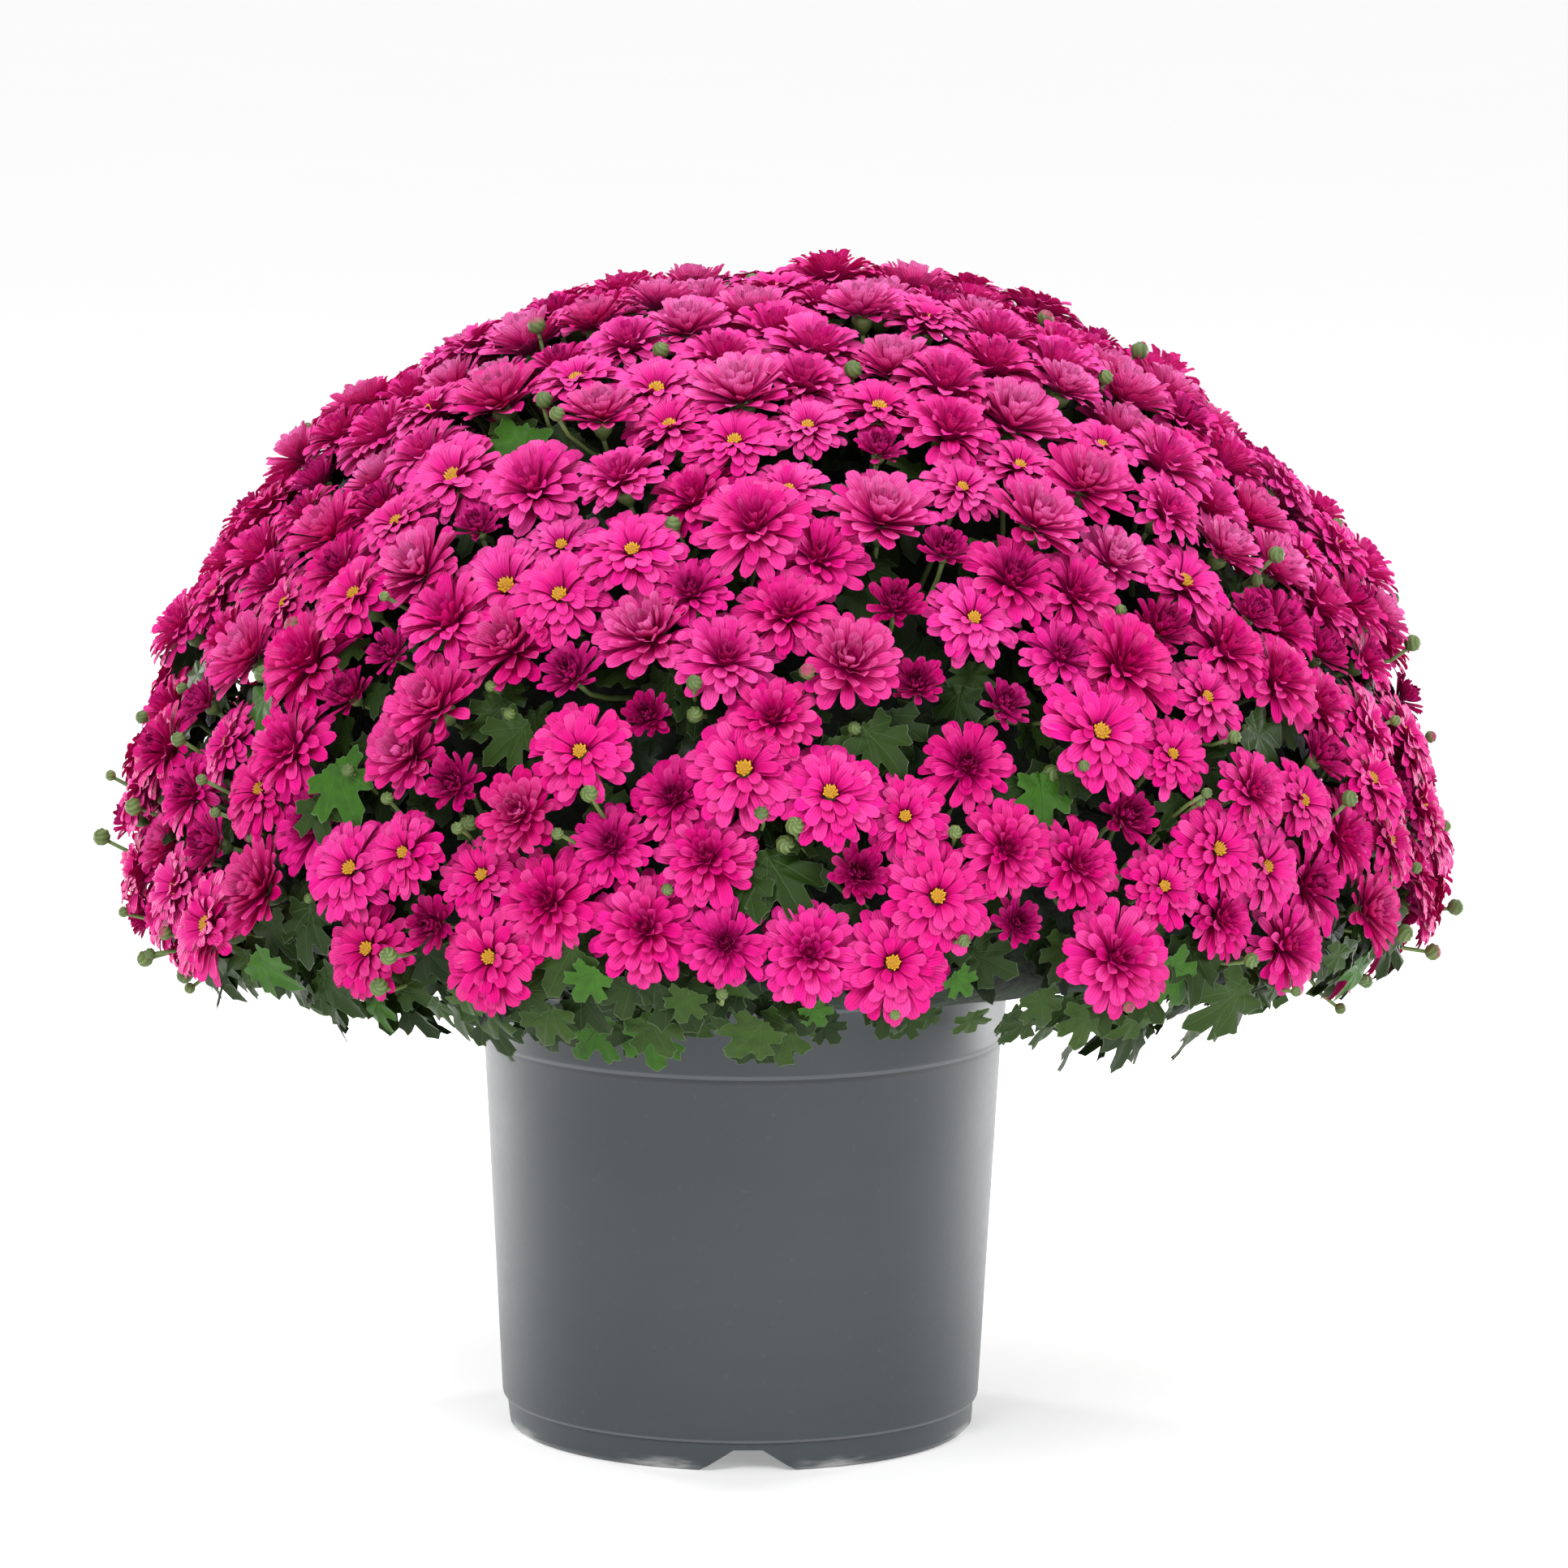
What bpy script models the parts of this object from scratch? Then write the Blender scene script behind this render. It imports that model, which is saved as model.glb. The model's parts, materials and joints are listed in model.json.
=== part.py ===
"""Pot chrysanthemum: a domed bush of double pink blooms over lobed green leaves, in a round plastic pot.

The frame is +Z up, in metres, with its origin at the centre of the pot's base and the front towards -Y.
Every bloom and every leaf owns the space nearer to it than to any other, and its petals or lobes grow
until they meet the limit of that space, as crowded petals do. So no two of them overlap.
"""
import math

import bmesh
import bpy
import numpy as np

# Pot
POT_SIDES = 30
WALL = 0.0020
RIM_RADIUS = 0.1275
RIM_TOP = 0.2280
LIP_PROUD = 0.0009
LIP_HEIGHT = 0.0035
BAND_BOTTOM = 0.1932
BAND_STEP = 0.0009
BODY_TOP_RADIUS = 0.1263
BODY_BOTTOM_RADIUS = 0.1164
FOOT_RADIUS = 0.1138
FOOT_TOP = 0.0140
FOOT_ROLL = 0.0024
FOOT_CHAMFER = 0.0032
FOOT_INNER_RADIUS = 0.1080
FLOOR_UNDERSIDE = 0.0112
FLOOR_THICKNESS = 0.0025
CENTRE_FOOT_RADIUS = 0.0120
NOTCH_COUNT = 4
NOTCH_FIRST_TURN = math.radians(-88.0)
NOTCH_HEIGHT = 0.0108
NOTCH_TOP_WIDTH = 0.0140
NOTCH_FOOT_WIDTH = 0.0470
NOTCH_CUT_FROM = 0.0950
NOTCH_CUT_TO = 0.1250
CUT_BELOW_GROUND = 0.0010
DRAIN_RADIUS = 0.0090
DRAIN_DISTANCE = 0.0880
DRAIN_SIDES = 8
DRAIN_CUT_FROM = 0.0060
DRAIN_CUT_TO = 0.0200
POT_COLOUR = (0.075, 0.085, 0.093)
POT_ROUGHNESS = 0.38

# Soil
SOIL_SIDES = 15
SOIL_TOP = 0.2050
SOIL_MOUND = 0.0060
SOIL_FLAT_SHARE = 0.62
SOIL_RIPPLE = 0.0015
SOIL_RIPPLE_X = 90.0
SOIL_RIPPLE_Y = 75.0
SOIL_COLOUR = (0.035, 0.024, 0.017)
SOIL_ROUGHNESS = 0.95
SEAT_GAP = 0.00035
HOLE_CUT_ABOVE = 0.0200

# Shape of the plant: the surface that the bloom centres lie on
AXIS_X = 0.020
DOME_RADIUS = 0.3150
DOME_RISE = 0.2950
DOME_WAIST = 0.2650
DOME_POWER = 2.1
SKIRT_DROP = 0.0500
SKIRT_INNER_RADIUS = 0.1660
SKIRT_TOP = 0.2430
BLOOM_LOWEST = 0.2320
BLOOM_LOWEST_RISE = 0.0440

# Where blooms and leaves stand
SITE_COUNT = 576
SITE_SEED = 142
SITE_SPACING = 0.0395
SKIRT_SPACING = 0.0660
SITE_SHAKE = 0.0120
PROFILE_STEPS = 2000
RELAX_STEPS = 30
PUSH_REACH = 1.08
PUSH_SHARE = 0.22
LEAF_SHARE_LOW = 0.30
LEAF_SHARE_HIGH = 0.08
SPRAY_BORDER = 0.0140
LEAF_SHARE_TOP = 0.42
FACING_SHAKE = 0.11
GROWTH_WEIGHT = 0.8
GROWTH_CENTRE_HEIGHT = 0.10
HANG_WEIGHT = 0.35
LEAF_SUNK = 0.006
BLOOM_LIFTS = (-0.004, 0.003)
SITE_SIZES = (0.90, 1.04)
NEIGHBOUR_REACH = 0.130
SITE_GAP = 0.0006
NEARLY_UPRIGHT = 0.05
TINY = 1e-6

# Bloom
PETALS = 5
PETAL_REACH = 0.0235
INNER_REACH = 0.0170
PETAL_DIP = -0.0010
INNER_RISE = 0.0065
CALYX_DEPTH = 0.0165
CROWN_RISE = 0.0090
SIDES_TRIED = 3
SIDE_TURN_MOST = 1.25
BAR_ROOM = 0.0030
BAR_ROOM_WEIGHT = 10.0
BLOCKED_COST = 0.05
PETAL_COLOUR = (0.62, 0.012, 0.24)
PETAL_ROUGHNESS = 0.60

# Leaf
LEAF_HALF = 0.0300
LEAF_LOBES = 5
LEAF_THICK = 0.0018
LEAF_LEAN_MOST = 0.9
LEAF_ROOT_REACH = 0.34
LOBE_REACH = 0.80
LOBE_GROWTH = 0.20
LOBE_HEIGHT = -0.16
BAY_REACH = 0.50
BAY_GROWTH = 0.04
BAY_HEIGHT = 0.05
PETIOLE_RADIUS = 0.0022
CLEAR_ABOVE_RIM = 0.010
CLEAR_BESIDE_RIM = 0.008
PULL_LEAST = 0.1
PULL_STEPS = 19
LEAF_COLOUR = (0.050, 0.130, 0.035)
LEAF_ROUGHNESS = 0.55

# Stems
STEM_COUNT = 8
SPRAYS_LOW = 2
SPRAYS_MIDDLE = 2
SPRAYS_TOP = 1
SPRAY_COUNT = STEM_COUNT * (SPRAYS_LOW + SPRAYS_MIDDLE + SPRAYS_TOP)
SPRAY_TILTS = (math.radians(7.0), math.radians(36.0), math.radians(66.0))
CORE_DEPTH = 0.0420
CORE_BOTTOM = 0.2460
CORE_TILTS = (-20.0, 14.0, 38.0, 60.0, 79.0)
CORE_BEND_ROW = 2
CORE_INNER = 0.0200
CORE_GAP = 0.0010
TRUNK_RADIUS = 0.0050
TRUNK_SIDES = 6
TRUNK_DISTANCE = 0.0450
TRUNK_FOOT = 0.1500
TRUNK_BEND = 0.2150
TRUNK_TOP_DISTANCE = 0.0850
TRUNK_TOP_RISE = 0.0650
BRANCH_ROOT_RADIUS = 0.0032
BRANCH_TIP_RADIUS = 0.0013
BRANCH_GAP = 0.0008
BRANCH_SIDES = 3
ROOT_SUNK = 0.0160
ROOT_MARGIN = 0.0070
ROOT_FURTHEST = 0.2420
ROOT_NEAREST = 0.1000
ROOT_STEP_IN = 0.0240
ROOT_LOW_MARGIN = 0.0210
ROOT_LOW_RISE = 0.0112
ROOT_TILTS = (0.02, math.radians(74.0))

SHARP_EDGE = math.radians(35.0)
GOLDEN_ANGLE = math.pi * (3.0 - math.sqrt(5.0))


def clear_scene():
    for item in list(bpy.data.objects):
        bpy.data.objects.remove(item, do_unlink=True)


def material(name, colour, roughness):
    made = bpy.data.materials.new(name)
    made.use_nodes = True
    shader = made.node_tree.nodes["Principled BSDF"]
    shader.inputs["Base Color"].default_value = (*colour, 1.0)
    shader.inputs["Roughness"].default_value = roughness
    shader.inputs["Metallic"].default_value = 0.0
    return made


def new_object(name, points, faces, finish=None):
    mesh = bpy.data.meshes.new(name)
    mesh.from_pydata([tuple(point) for point in points], [], [tuple(face) for face in faces])
    mesh.update()
    made = bpy.data.objects.new(name, mesh)
    bpy.context.scene.collection.objects.link(made)
    if finish is not None:
        mesh.materials.append(finish)
    return made


def point_faces_outwards(made):
    mesh = bmesh.new()
    mesh.from_mesh(made.data)
    bmesh.ops.recalc_face_normals(mesh, faces=mesh.faces)
    mesh.to_mesh(made.data)
    mesh.free()


def smooth(made):
    made.data.shade_smooth()
    made.data.set_sharp_from_angle(angle=SHARP_EDGE)


def bake_modifiers(made):
    """Replace the object's mesh by what its modifiers make of it."""
    graph = bpy.context.evaluated_depsgraph_get()
    baked = bpy.data.meshes.new_from_object(made.evaluated_get(graph))
    made.modifiers.clear()
    made.data = baked


def cut(made, cutters):
    """Take the cutters out of the object and remove them."""
    group = bpy.data.collections.new("cutters")
    for cutter in cutters:
        cutter.hide_render = True
        cutter.display_type = "WIRE"
        bpy.context.scene.collection.objects.unlink(cutter)
        group.objects.link(cutter)
    bpy.context.scene.collection.children.link(group)
    boolean = made.modifiers.new("cut", "BOOLEAN")
    boolean.operation = "DIFFERENCE"
    boolean.operand_type = "COLLECTION"
    boolean.collection = group
    bake_modifiers(made)
    for cutter in cutters:
        bpy.data.objects.remove(cutter, do_unlink=True)
    bpy.data.collections.remove(group)


def join_all(made, pieces):
    """Union the pieces into the object and remove them."""
    group = bpy.data.collections.new("pieces")
    for piece in pieces:
        bpy.context.scene.collection.objects.unlink(piece)
        group.objects.link(piece)
    bpy.context.scene.collection.children.link(group)
    boolean = made.modifiers.new("join", "BOOLEAN")
    boolean.operation = "UNION"
    boolean.solver = "MANIFOLD"
    boolean.operand_type = "COLLECTION"
    boolean.collection = group
    bake_modifiers(made)
    for piece in pieces:
        bpy.data.objects.remove(piece, do_unlink=True)
    bpy.data.collections.remove(group)


def turned(name, profile, sides, finish):
    """Turn a profile of (radius, height) pairs, from the axis underneath to the axis on top."""
    points = [(0.0, 0.0, profile[0][1])]
    for radius, height in profile:
        for side in range(sides):
            angle = 2.0 * math.pi * side / sides
            points.append((radius * math.cos(angle), radius * math.sin(angle), height))
    points.append((0.0, 0.0, profile[-1][1]))
    last = len(points) - 1
    faces = []
    for side in range(sides):
        after = (side + 1) % sides
        faces.append((0, 1 + after, 1 + side))
        top = 1 + (len(profile) - 1) * sides
        faces.append((last, top + side, top + after))
        for ring in range(len(profile) - 1):
            low = 1 + ring * sides
            high = low + sides
            faces.append((low + side, low + after, high + after, high + side))
    return new_object(name, points, faces, finish)


def prism(name, sides, radius, bottom, top, centre_x=0.0, centre_y=0.0, turn=0.0):
    points = []
    for height in (bottom, top):
        for side in range(sides):
            angle = turn + 2.0 * math.pi * side / sides
            points.append((centre_x + radius * math.cos(angle), centre_y + radius * math.sin(angle), height))
    faces = [tuple(reversed(range(sides))), tuple(range(sides, 2 * sides))]
    for side in range(sides):
        after = (side + 1) % sides
        faces.append((side, after, sides + after, sides + side))
    return new_object(name, points, faces)


def notch_turn(number):
    return NOTCH_FIRST_TURN + 2.0 * math.pi * number / NOTCH_COUNT


def notch_cutter(number):
    """A trapezoid bar through the foot ring, wider at the ground."""
    turn = notch_turn(number)
    splay = 0.5 * (NOTCH_FOOT_WIDTH - NOTCH_TOP_WIDTH) / NOTCH_HEIGHT
    low = 0.5 * NOTCH_FOOT_WIDTH + splay * CUT_BELOW_GROUND
    high = 0.5 * NOTCH_TOP_WIDTH
    outline = ((-low, -CUT_BELOW_GROUND), (low, -CUT_BELOW_GROUND),
               (high, NOTCH_HEIGHT), (-high, NOTCH_HEIGHT))
    points = []
    for distance in (NOTCH_CUT_FROM, NOTCH_CUT_TO):
        for across, height in outline:
            points.append((distance * math.cos(turn) - across * math.sin(turn),
                           distance * math.sin(turn) + across * math.cos(turn), height))
    faces = [(0, 1, 2, 3), (7, 6, 5, 4), (0, 4, 5, 1), (1, 5, 6, 2), (2, 6, 7, 3), (3, 7, 4, 0)]
    made = new_object("notch", points, faces)
    point_faces_outwards(made)
    return made


def make_pot():
    lip_bottom = RIM_TOP - LIP_HEIGHT
    inner_body_bottom = BODY_BOTTOM_RADIUS - WALL
    profile = [
        (CENTRE_FOOT_RADIUS, 0.0),
        (CENTRE_FOOT_RADIUS, FLOOR_UNDERSIDE),
        (FOOT_INNER_RADIUS, FLOOR_UNDERSIDE),
        (FOOT_INNER_RADIUS, 0.0),
        (FOOT_RADIUS - FOOT_CHAMFER, 0.0),
        (FOOT_RADIUS, FOOT_CHAMFER),
        (FOOT_RADIUS, FOOT_TOP),
        (BODY_BOTTOM_RADIUS, FOOT_TOP + FOOT_ROLL),
        (BODY_TOP_RADIUS, BAND_BOTTOM - BAND_STEP),
        (RIM_RADIUS, BAND_BOTTOM),
        (RIM_RADIUS + LIP_PROUD, lip_bottom),
        (RIM_RADIUS + LIP_PROUD, RIM_TOP),
        (RIM_RADIUS - WALL, RIM_TOP),
        (BODY_TOP_RADIUS - WALL, BAND_BOTTOM - BAND_STEP),
        (inner_body_bottom, FOOT_TOP + FOOT_ROLL),
        (FOOT_RADIUS - WALL, FLOOR_UNDERSIDE + FLOOR_THICKNESS),
    ]
    pot = turned("pot", profile, POT_SIDES, material("pot_plastic", POT_COLOUR, POT_ROUGHNESS))
    cutters = [notch_cutter(number) for number in range(NOTCH_COUNT)]
    for number in range(NOTCH_COUNT):
        turn = notch_turn(number)
        cutters.append(prism("drain", DRAIN_SIDES, DRAIN_RADIUS, DRAIN_CUT_FROM, DRAIN_CUT_TO,
                             DRAIN_DISTANCE * math.cos(turn), DRAIN_DISTANCE * math.sin(turn)))
    cut(pot, cutters)
    smooth(pot)
    return pot


def inner_wall_radius(height):
    """Inside radius of the pot, on the flat of a side, at a height above its floor."""
    low = FOOT_TOP + FOOT_ROLL
    high = BAND_BOTTOM - BAND_STEP
    share = (height - low) / (high - low)
    radius = BODY_BOTTOM_RADIUS + share * (BODY_TOP_RADIUS - BODY_BOTTOM_RADIUS) - WALL
    return radius * math.cos(math.pi / POT_SIDES)


def stem_turn(number):
    return 2.0 * math.pi * (number + 0.5) / STEM_COUNT


def trunk_place(number):
    turn = stem_turn(number)
    return TRUNK_DISTANCE * math.cos(turn), TRUNK_DISTANCE * math.sin(turn)


def make_soil():
    floor = FLOOR_UNDERSIDE + FLOOR_THICKNESS + SEAT_GAP
    low = FOOT_TOP + FOOT_ROLL
    top_radius = inner_wall_radius(BAND_BOTTOM - BAND_STEP) - SEAT_GAP
    profile = [
        ((FOOT_RADIUS - WALL) * math.cos(math.pi / POT_SIDES) - SEAT_GAP, floor),
        (inner_wall_radius(low) - SEAT_GAP, low),
        (top_radius, BAND_BOTTOM - BAND_STEP),
        (top_radius, SOIL_TOP - SOIL_MOUND),
        (SOIL_FLAT_SHARE * top_radius, SOIL_TOP),
    ]
    soil = turned("soil", profile, SOIL_SIDES, material("soil", SOIL_COLOUR, SOIL_ROUGHNESS))
    for vertex in soil.data.vertices:
        if vertex.co.z > SOIL_TOP - 0.5 * SOIL_MOUND:
            ripple = math.sin(SOIL_RIPPLE_X * vertex.co.x) * math.cos(SOIL_RIPPLE_Y * vertex.co.y)
            vertex.co.z += SOIL_RIPPLE * ripple
    holes = []
    for number in range(STEM_COUNT):
        x, y = trunk_place(number)
        radius = (TRUNK_RADIUS + SEAT_GAP) / math.cos(math.pi / TRUNK_SIDES)
        holes.append(prism("hole", TRUNK_SIDES, radius, TRUNK_FOOT - SEAT_GAP,
                           SOIL_TOP + HOLE_CUT_ABOVE, x, y, stem_turn(number)))
    cut(soil, holes)
    return soil


def dome(tilt):
    """Distance from the plant's axis and height. The tilt is pi/2 at the top, 0 at the waist, less below."""
    reach = np.abs(np.cos(tilt)) ** (2.0 / DOME_POWER)
    lift = np.sign(np.sin(tilt)) * np.abs(np.sin(tilt)) ** (2.0 / DOME_POWER)
    rise = np.where(lift > 0.0, DOME_RISE, SKIRT_DROP)
    return DOME_RADIUS * reach, DOME_WAIST + rise * lift


def tilt_of(distance, height):
    """The inverse of dome, for a point that lies near its surface."""
    lift = height - DOME_WAIST
    rise = np.where(lift > 0.0, DOME_RISE, SKIRT_DROP)
    sine = np.sign(lift) * (np.abs(lift) / rise) ** (DOME_POWER / 2.0)
    cosine = (distance / DOME_RADIUS) ** (DOME_POWER / 2.0)
    return np.arctan2(sine, cosine)


def place(tilt, turn):
    distance, height = dome(tilt)
    return np.stack([AXIS_X + distance * np.cos(turn), distance * np.sin(turn), height], axis=-1)


def spacing_at(tilt):
    """Blooms stand close on the dome and leaves wider apart under the skirt."""
    return np.where(dome(tilt)[1] > SKIRT_TOP, SITE_SPACING, SKIRT_SPACING)


def lowest_tilt():
    return -math.acos((SKIRT_INNER_RADIUS / DOME_RADIUS) ** (DOME_POWER / 2.0))


def spread_sites():
    """A golden spiral of even area over the dome, shaken by a seeded draw, then pushed to even distances."""
    draw = np.random.RandomState(SITE_SEED)
    tilts = np.linspace(math.pi / 2.0, lowest_tilt(), PROFILE_STEPS)
    distance, height = dome(tilts)
    step = np.hypot(np.diff(distance), np.diff(height))
    middle = 0.5 * (tilts[1:] + tilts[:-1])
    share = 0.5 * (distance[1:] + distance[:-1]) * step / spacing_at(middle) ** 2
    reached = np.concatenate([[0.0], np.cumsum(share)])
    wanted = (np.arange(SITE_COUNT) + 0.5) / SITE_COUNT * reached[-1]
    tilt = np.interp(wanted, reached, tilts)
    turn = np.arange(SITE_COUNT) * GOLDEN_ANGLE
    points = place(tilt, turn) + draw.uniform(-SITE_SHAKE, SITE_SHAKE, (SITE_COUNT, 3))
    for _ in range(RELAX_STEPS):
        apart = points[:, None, :] - points[None, :, :]
        far = np.linalg.norm(apart, axis=2) + np.eye(SITE_COUNT)
        wish = 0.5 * (spacing_at(tilt)[:, None] + spacing_at(tilt)[None, :]) * PUSH_REACH
        push = np.where(far < wish, (wish - far) / far, 0.0)
        np.fill_diagonal(push, 0.0)
        points = points + PUSH_SHARE * np.sum(apart * push[:, :, None], axis=1)
        turn = np.arctan2(points[:, 1], points[:, 0] - AXIS_X)
        tilt = tilt_of(np.hypot(points[:, 0] - AXIS_X, points[:, 1]), points[:, 2])
        tilt = np.maximum(tilt, lowest_tilt())
        points = place(tilt, turn)
    return points, tilt, turn


def unit(vectors):
    return vectors / np.linalg.norm(vectors, axis=-1, keepdims=True)


def hangs(points, turn):
    """Whether a site is so low that it has a hanging leaf. Blooms reach lower at the sides than in front."""
    return points[:, 2] < BLOOM_LOWEST + BLOOM_LOWEST_RISE * np.abs(np.sin(turn))


def make_sites():
    """Centre, facing, kind and size of every bloom and leaf."""
    points, tilt, turn = spread_sites()
    draw = np.random.RandomState(SITE_SEED + 1)
    around = np.stack([np.cos(turn), np.sin(turn), np.zeros_like(turn)], axis=1)
    up = np.array([0.0, 0.0, 1.0])
    rise = np.where(points[:, 2] > DOME_WAIST, DOME_RISE, SKIRT_DROP)
    slope = (points[:, 2] - DOME_WAIST) / rise ** 2
    flat = np.hypot(points[:, 0] - AXIS_X, points[:, 1]) / DOME_RADIUS ** 2
    surface = unit(around * flat[:, None] + up * slope[:, None])
    growth = unit(points - np.array([AXIS_X, 0.0, GROWTH_CENTRE_HEIGHT]))
    shaken = draw.normal(0.0, FACING_SHAKE, (SITE_COUNT, 3))
    chance = draw.uniform(0.0, 1.0, SITE_COUNT)
    share = np.where(points[:, 2] < LEAF_SHARE_TOP, LEAF_SHARE_LOW, LEAF_SHARE_HIGH)
    to_seeds = np.sort(np.linalg.norm(points[:, None, :] - spray_seeds()[None, :, :], axis=2), axis=1)
    between = to_seeds[:, 1] - to_seeds[:, 0] < SPRAY_BORDER
    low = hangs(points, turn)
    leafy = low | (between & (chance < share))
    facing = unit(surface + GROWTH_WEIGHT * growth + shaken)
    hanging = unit(around + HANG_WEIGHT * surface + shaken)
    facing = np.where(low[:, None], hanging, facing)
    lift = np.where(leafy, -LEAF_SUNK, draw.uniform(*BLOOM_LIFTS, SITE_COUNT))
    lift = np.where(low, 0.0, lift)
    points = points + facing * lift[:, None]
    spin = draw.uniform(0.0, 2.0 * math.pi, SITE_COUNT)
    size = draw.uniform(*SITE_SIZES, SITE_COUNT)
    return {"point": points, "facing": facing, "leafy": leafy, "turn": turn, "spin": spin, "size": size}


def room_limits(points):
    """For each site, the directions of its neighbours and how far its own space reaches towards them."""
    limits = []
    for number in range(len(points)):
        apart = points - points[number]
        far = np.linalg.norm(apart, axis=1)
        near = (far > 0.0) & (far < NEIGHBOUR_REACH)
        limits.append((apart[near] / far[near][:, None], 0.5 * (far[near] - SITE_GAP)))
    return limits


def fit_in_room(offset, limit):
    """Shorten an offset from the site's centre until it stays in the site's own space."""
    directions, reach = limit
    towards = directions @ offset
    shares = np.where(towards > TINY, reach / np.maximum(towards, TINY), 1.0)
    return offset * min(1.0, float(np.min(shares)))


def across_axes(facing):
    """Two directions square to the facing, the first one level or downhill."""
    down = np.array([0.0, 0.0, -1.0])
    first = down - facing * float(down @ facing)
    if np.linalg.norm(first) < NEARLY_UPRIGHT:
        first = np.array([0.0, -1.0, 0.0]) - facing * float(-facing[1])
    first = unit(first)
    return first, np.cross(facing, first)


def bloom_points(sites, limits, number):
    """Rim of long outer petals and short inner ones that stand higher, then the crown and the calyx tip."""
    centre = sites["point"][number]
    facing = sites["facing"][number]
    first, second = across_axes(facing)
    size = sites["size"][number]
    offsets = []
    for step in range(2 * PETALS):
        angle = sites["spin"][number] + math.pi * step / PETALS
        outer = step % 2 == 0
        reach = (PETAL_REACH if outer else INNER_REACH) * size
        height = PETAL_DIP if outer else INNER_RISE
        level = math.cos(angle) * first + math.sin(angle) * second
        offsets.append(fit_in_room(reach * level + height * facing, limits[number]))
    offsets.append(fit_in_room(CROWN_RISE * facing, limits[number]))
    offsets.append(fit_in_room(-CALYX_DEPTH * facing, limits[number]))
    return [centre + offset for offset in offsets]


def tree_links(members, points):
    """Shortest tree through a spray's blooms, so that each is linked to the next along the shortest steps."""
    reached = [members[0]]
    waiting = list(members[1:])
    links = []
    while waiting:
        best = None
        for old in reached:
            for new in waiting:
                far = float(np.linalg.norm(points[old] - points[new]))
                middle = 0.5 * (points[old] + points[new])
                blocked = np.sum(np.linalg.norm(points - middle, axis=1) < 0.5 * far - TINY)
                cost = far + BLOCKED_COST * blocked
                if best is None or cost < best[0]:
                    best = (cost, old, new)
        links.append((best[1], best[2]))
        reached.append(best[2])
        waiting.remove(best[2])
    return links


def free_sides(sites, number, other, used):
    """The few free sides of a bloom's underside that look most towards another bloom."""
    first, second = across_axes(sites["facing"][number])
    towards = sites["point"][other] - sites["point"][number]
    angle = math.atan2(float(towards @ second), float(towards @ first)) - sites["spin"][number]
    wanted = angle / (math.pi / PETALS) - 0.5
    free = [side for side in range(2 * PETALS) if (number, side) not in used]
    turned_away = {side: abs((side - wanted + PETALS) % (2 * PETALS) - PETALS) for side in free}
    free.sort(key=lambda side: turned_away[side])
    return [side for side in free[:SIDES_TRIED] if side == free[0] or turned_away[side] < SIDE_TURN_MOST]


def room_under_rim(points, apex, rim, target, facing):
    """How far a line from a calyx tip to a target passes under the bloom's own rim."""
    to_rim = points[rim] - points[apex]
    to_target = points[target] - points[apex]
    rim_height = float(to_rim @ facing)
    target_height = float(to_target @ facing)
    rim_distance = np.linalg.norm(to_rim - rim_height * facing)
    target_distance = np.linalg.norm(to_target - target_height * facing)
    return rim_height - target_height * rim_distance / target_distance


def wall_rooms(points, near, far, near_facing, far_facing, corner):
    """Room under the petals along either diagonal of a bar's side wall."""
    from_near = room_under_rim(points, near[0], near[corner], far[corner], near_facing)
    from_far = room_under_rim(points, far[0], far[corner], near[corner], far_facing)
    return from_near, from_far


def bar_between(points, sites, start, old, new, here, there):
    """Cost of a bar between two underside triangles, and their corners in the order that it joins them in."""
    count = 2 * PETALS
    near = (start[old] + count + 1, start[old] + (here + 1) % count, start[old] + here)
    far = (start[new] + count + 1, start[new] + there, start[new] + (there + 1) % count)
    cost = sum(float(np.linalg.norm(points[a] - points[b])) for a, b in zip(near, far))
    for corner in (1, 2):
        rooms = wall_rooms(points, near, far, sites["facing"][old], sites["facing"][new], corner)
        cost += max(0.0, BAR_ROOM - max(rooms)) * BAR_ROOM_WEIGHT
    return cost, near, far, here, there


def bar_faces(points, near, far, near_facing, far_facing):
    """The three walls of a bar. Each side wall is split along the diagonal that stays under the petals."""
    faces = []
    for corner in (1, 2):
        from_near, from_far = wall_rooms(points, near, far, near_facing, far_facing, corner)
        wall = [near[0], near[corner], far[corner], far[0]]
        split = [(wall[0], wall[1], wall[2]), (wall[0], wall[2], wall[3])]
        if from_far > from_near:
            split = [(wall[0], wall[1], wall[3]), (wall[1], wall[2], wall[3])]
        faces.extend(split if corner == 1 else [tuple(reversed(face)) for face in split])
    one = np.linalg.norm(points[near[1]] - points[far[2]])
    two = np.linalg.norm(points[near[2]] - points[far[1]])
    if one < two:
        faces.extend([(near[1], near[2], far[2]), (near[1], far[2], far[1])])
    else:
        faces.extend([(near[1], near[2], far[1]), (near[2], far[2], far[1])])
    return faces


def make_spray(name, members, sites, limits, finish):
    """One spray's blooms, each linked to the next by a bar between their undersides."""
    count = 2 * PETALS
    points = []
    start = {}
    for number in members:
        start[number] = len(points)
        points.extend(bloom_points(sites, limits, number))
    faces = []
    used = set()
    for old, new in tree_links(members, sites["point"]):
        choices = []
        for here in free_sides(sites, old, new, used):
            for there in free_sides(sites, new, old, used):
                choices.append(bar_between(points, sites, start, old, new, here, there))
        _, near, far, here, there = min(choices)
        used.update({(old, here), (new, there)})
        faces.extend(bar_faces(points, near, far, sites["facing"][old], sites["facing"][new]))
    for number in members:
        base = start[number]
        for side in range(count):
            after = (side + 1) % count
            faces.append((base + count, base + side, base + after))
            if (number, side) not in used:
                faces.append((base + count + 1, base + after, base + side))
    return new_object(name, points, faces, finish)


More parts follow.
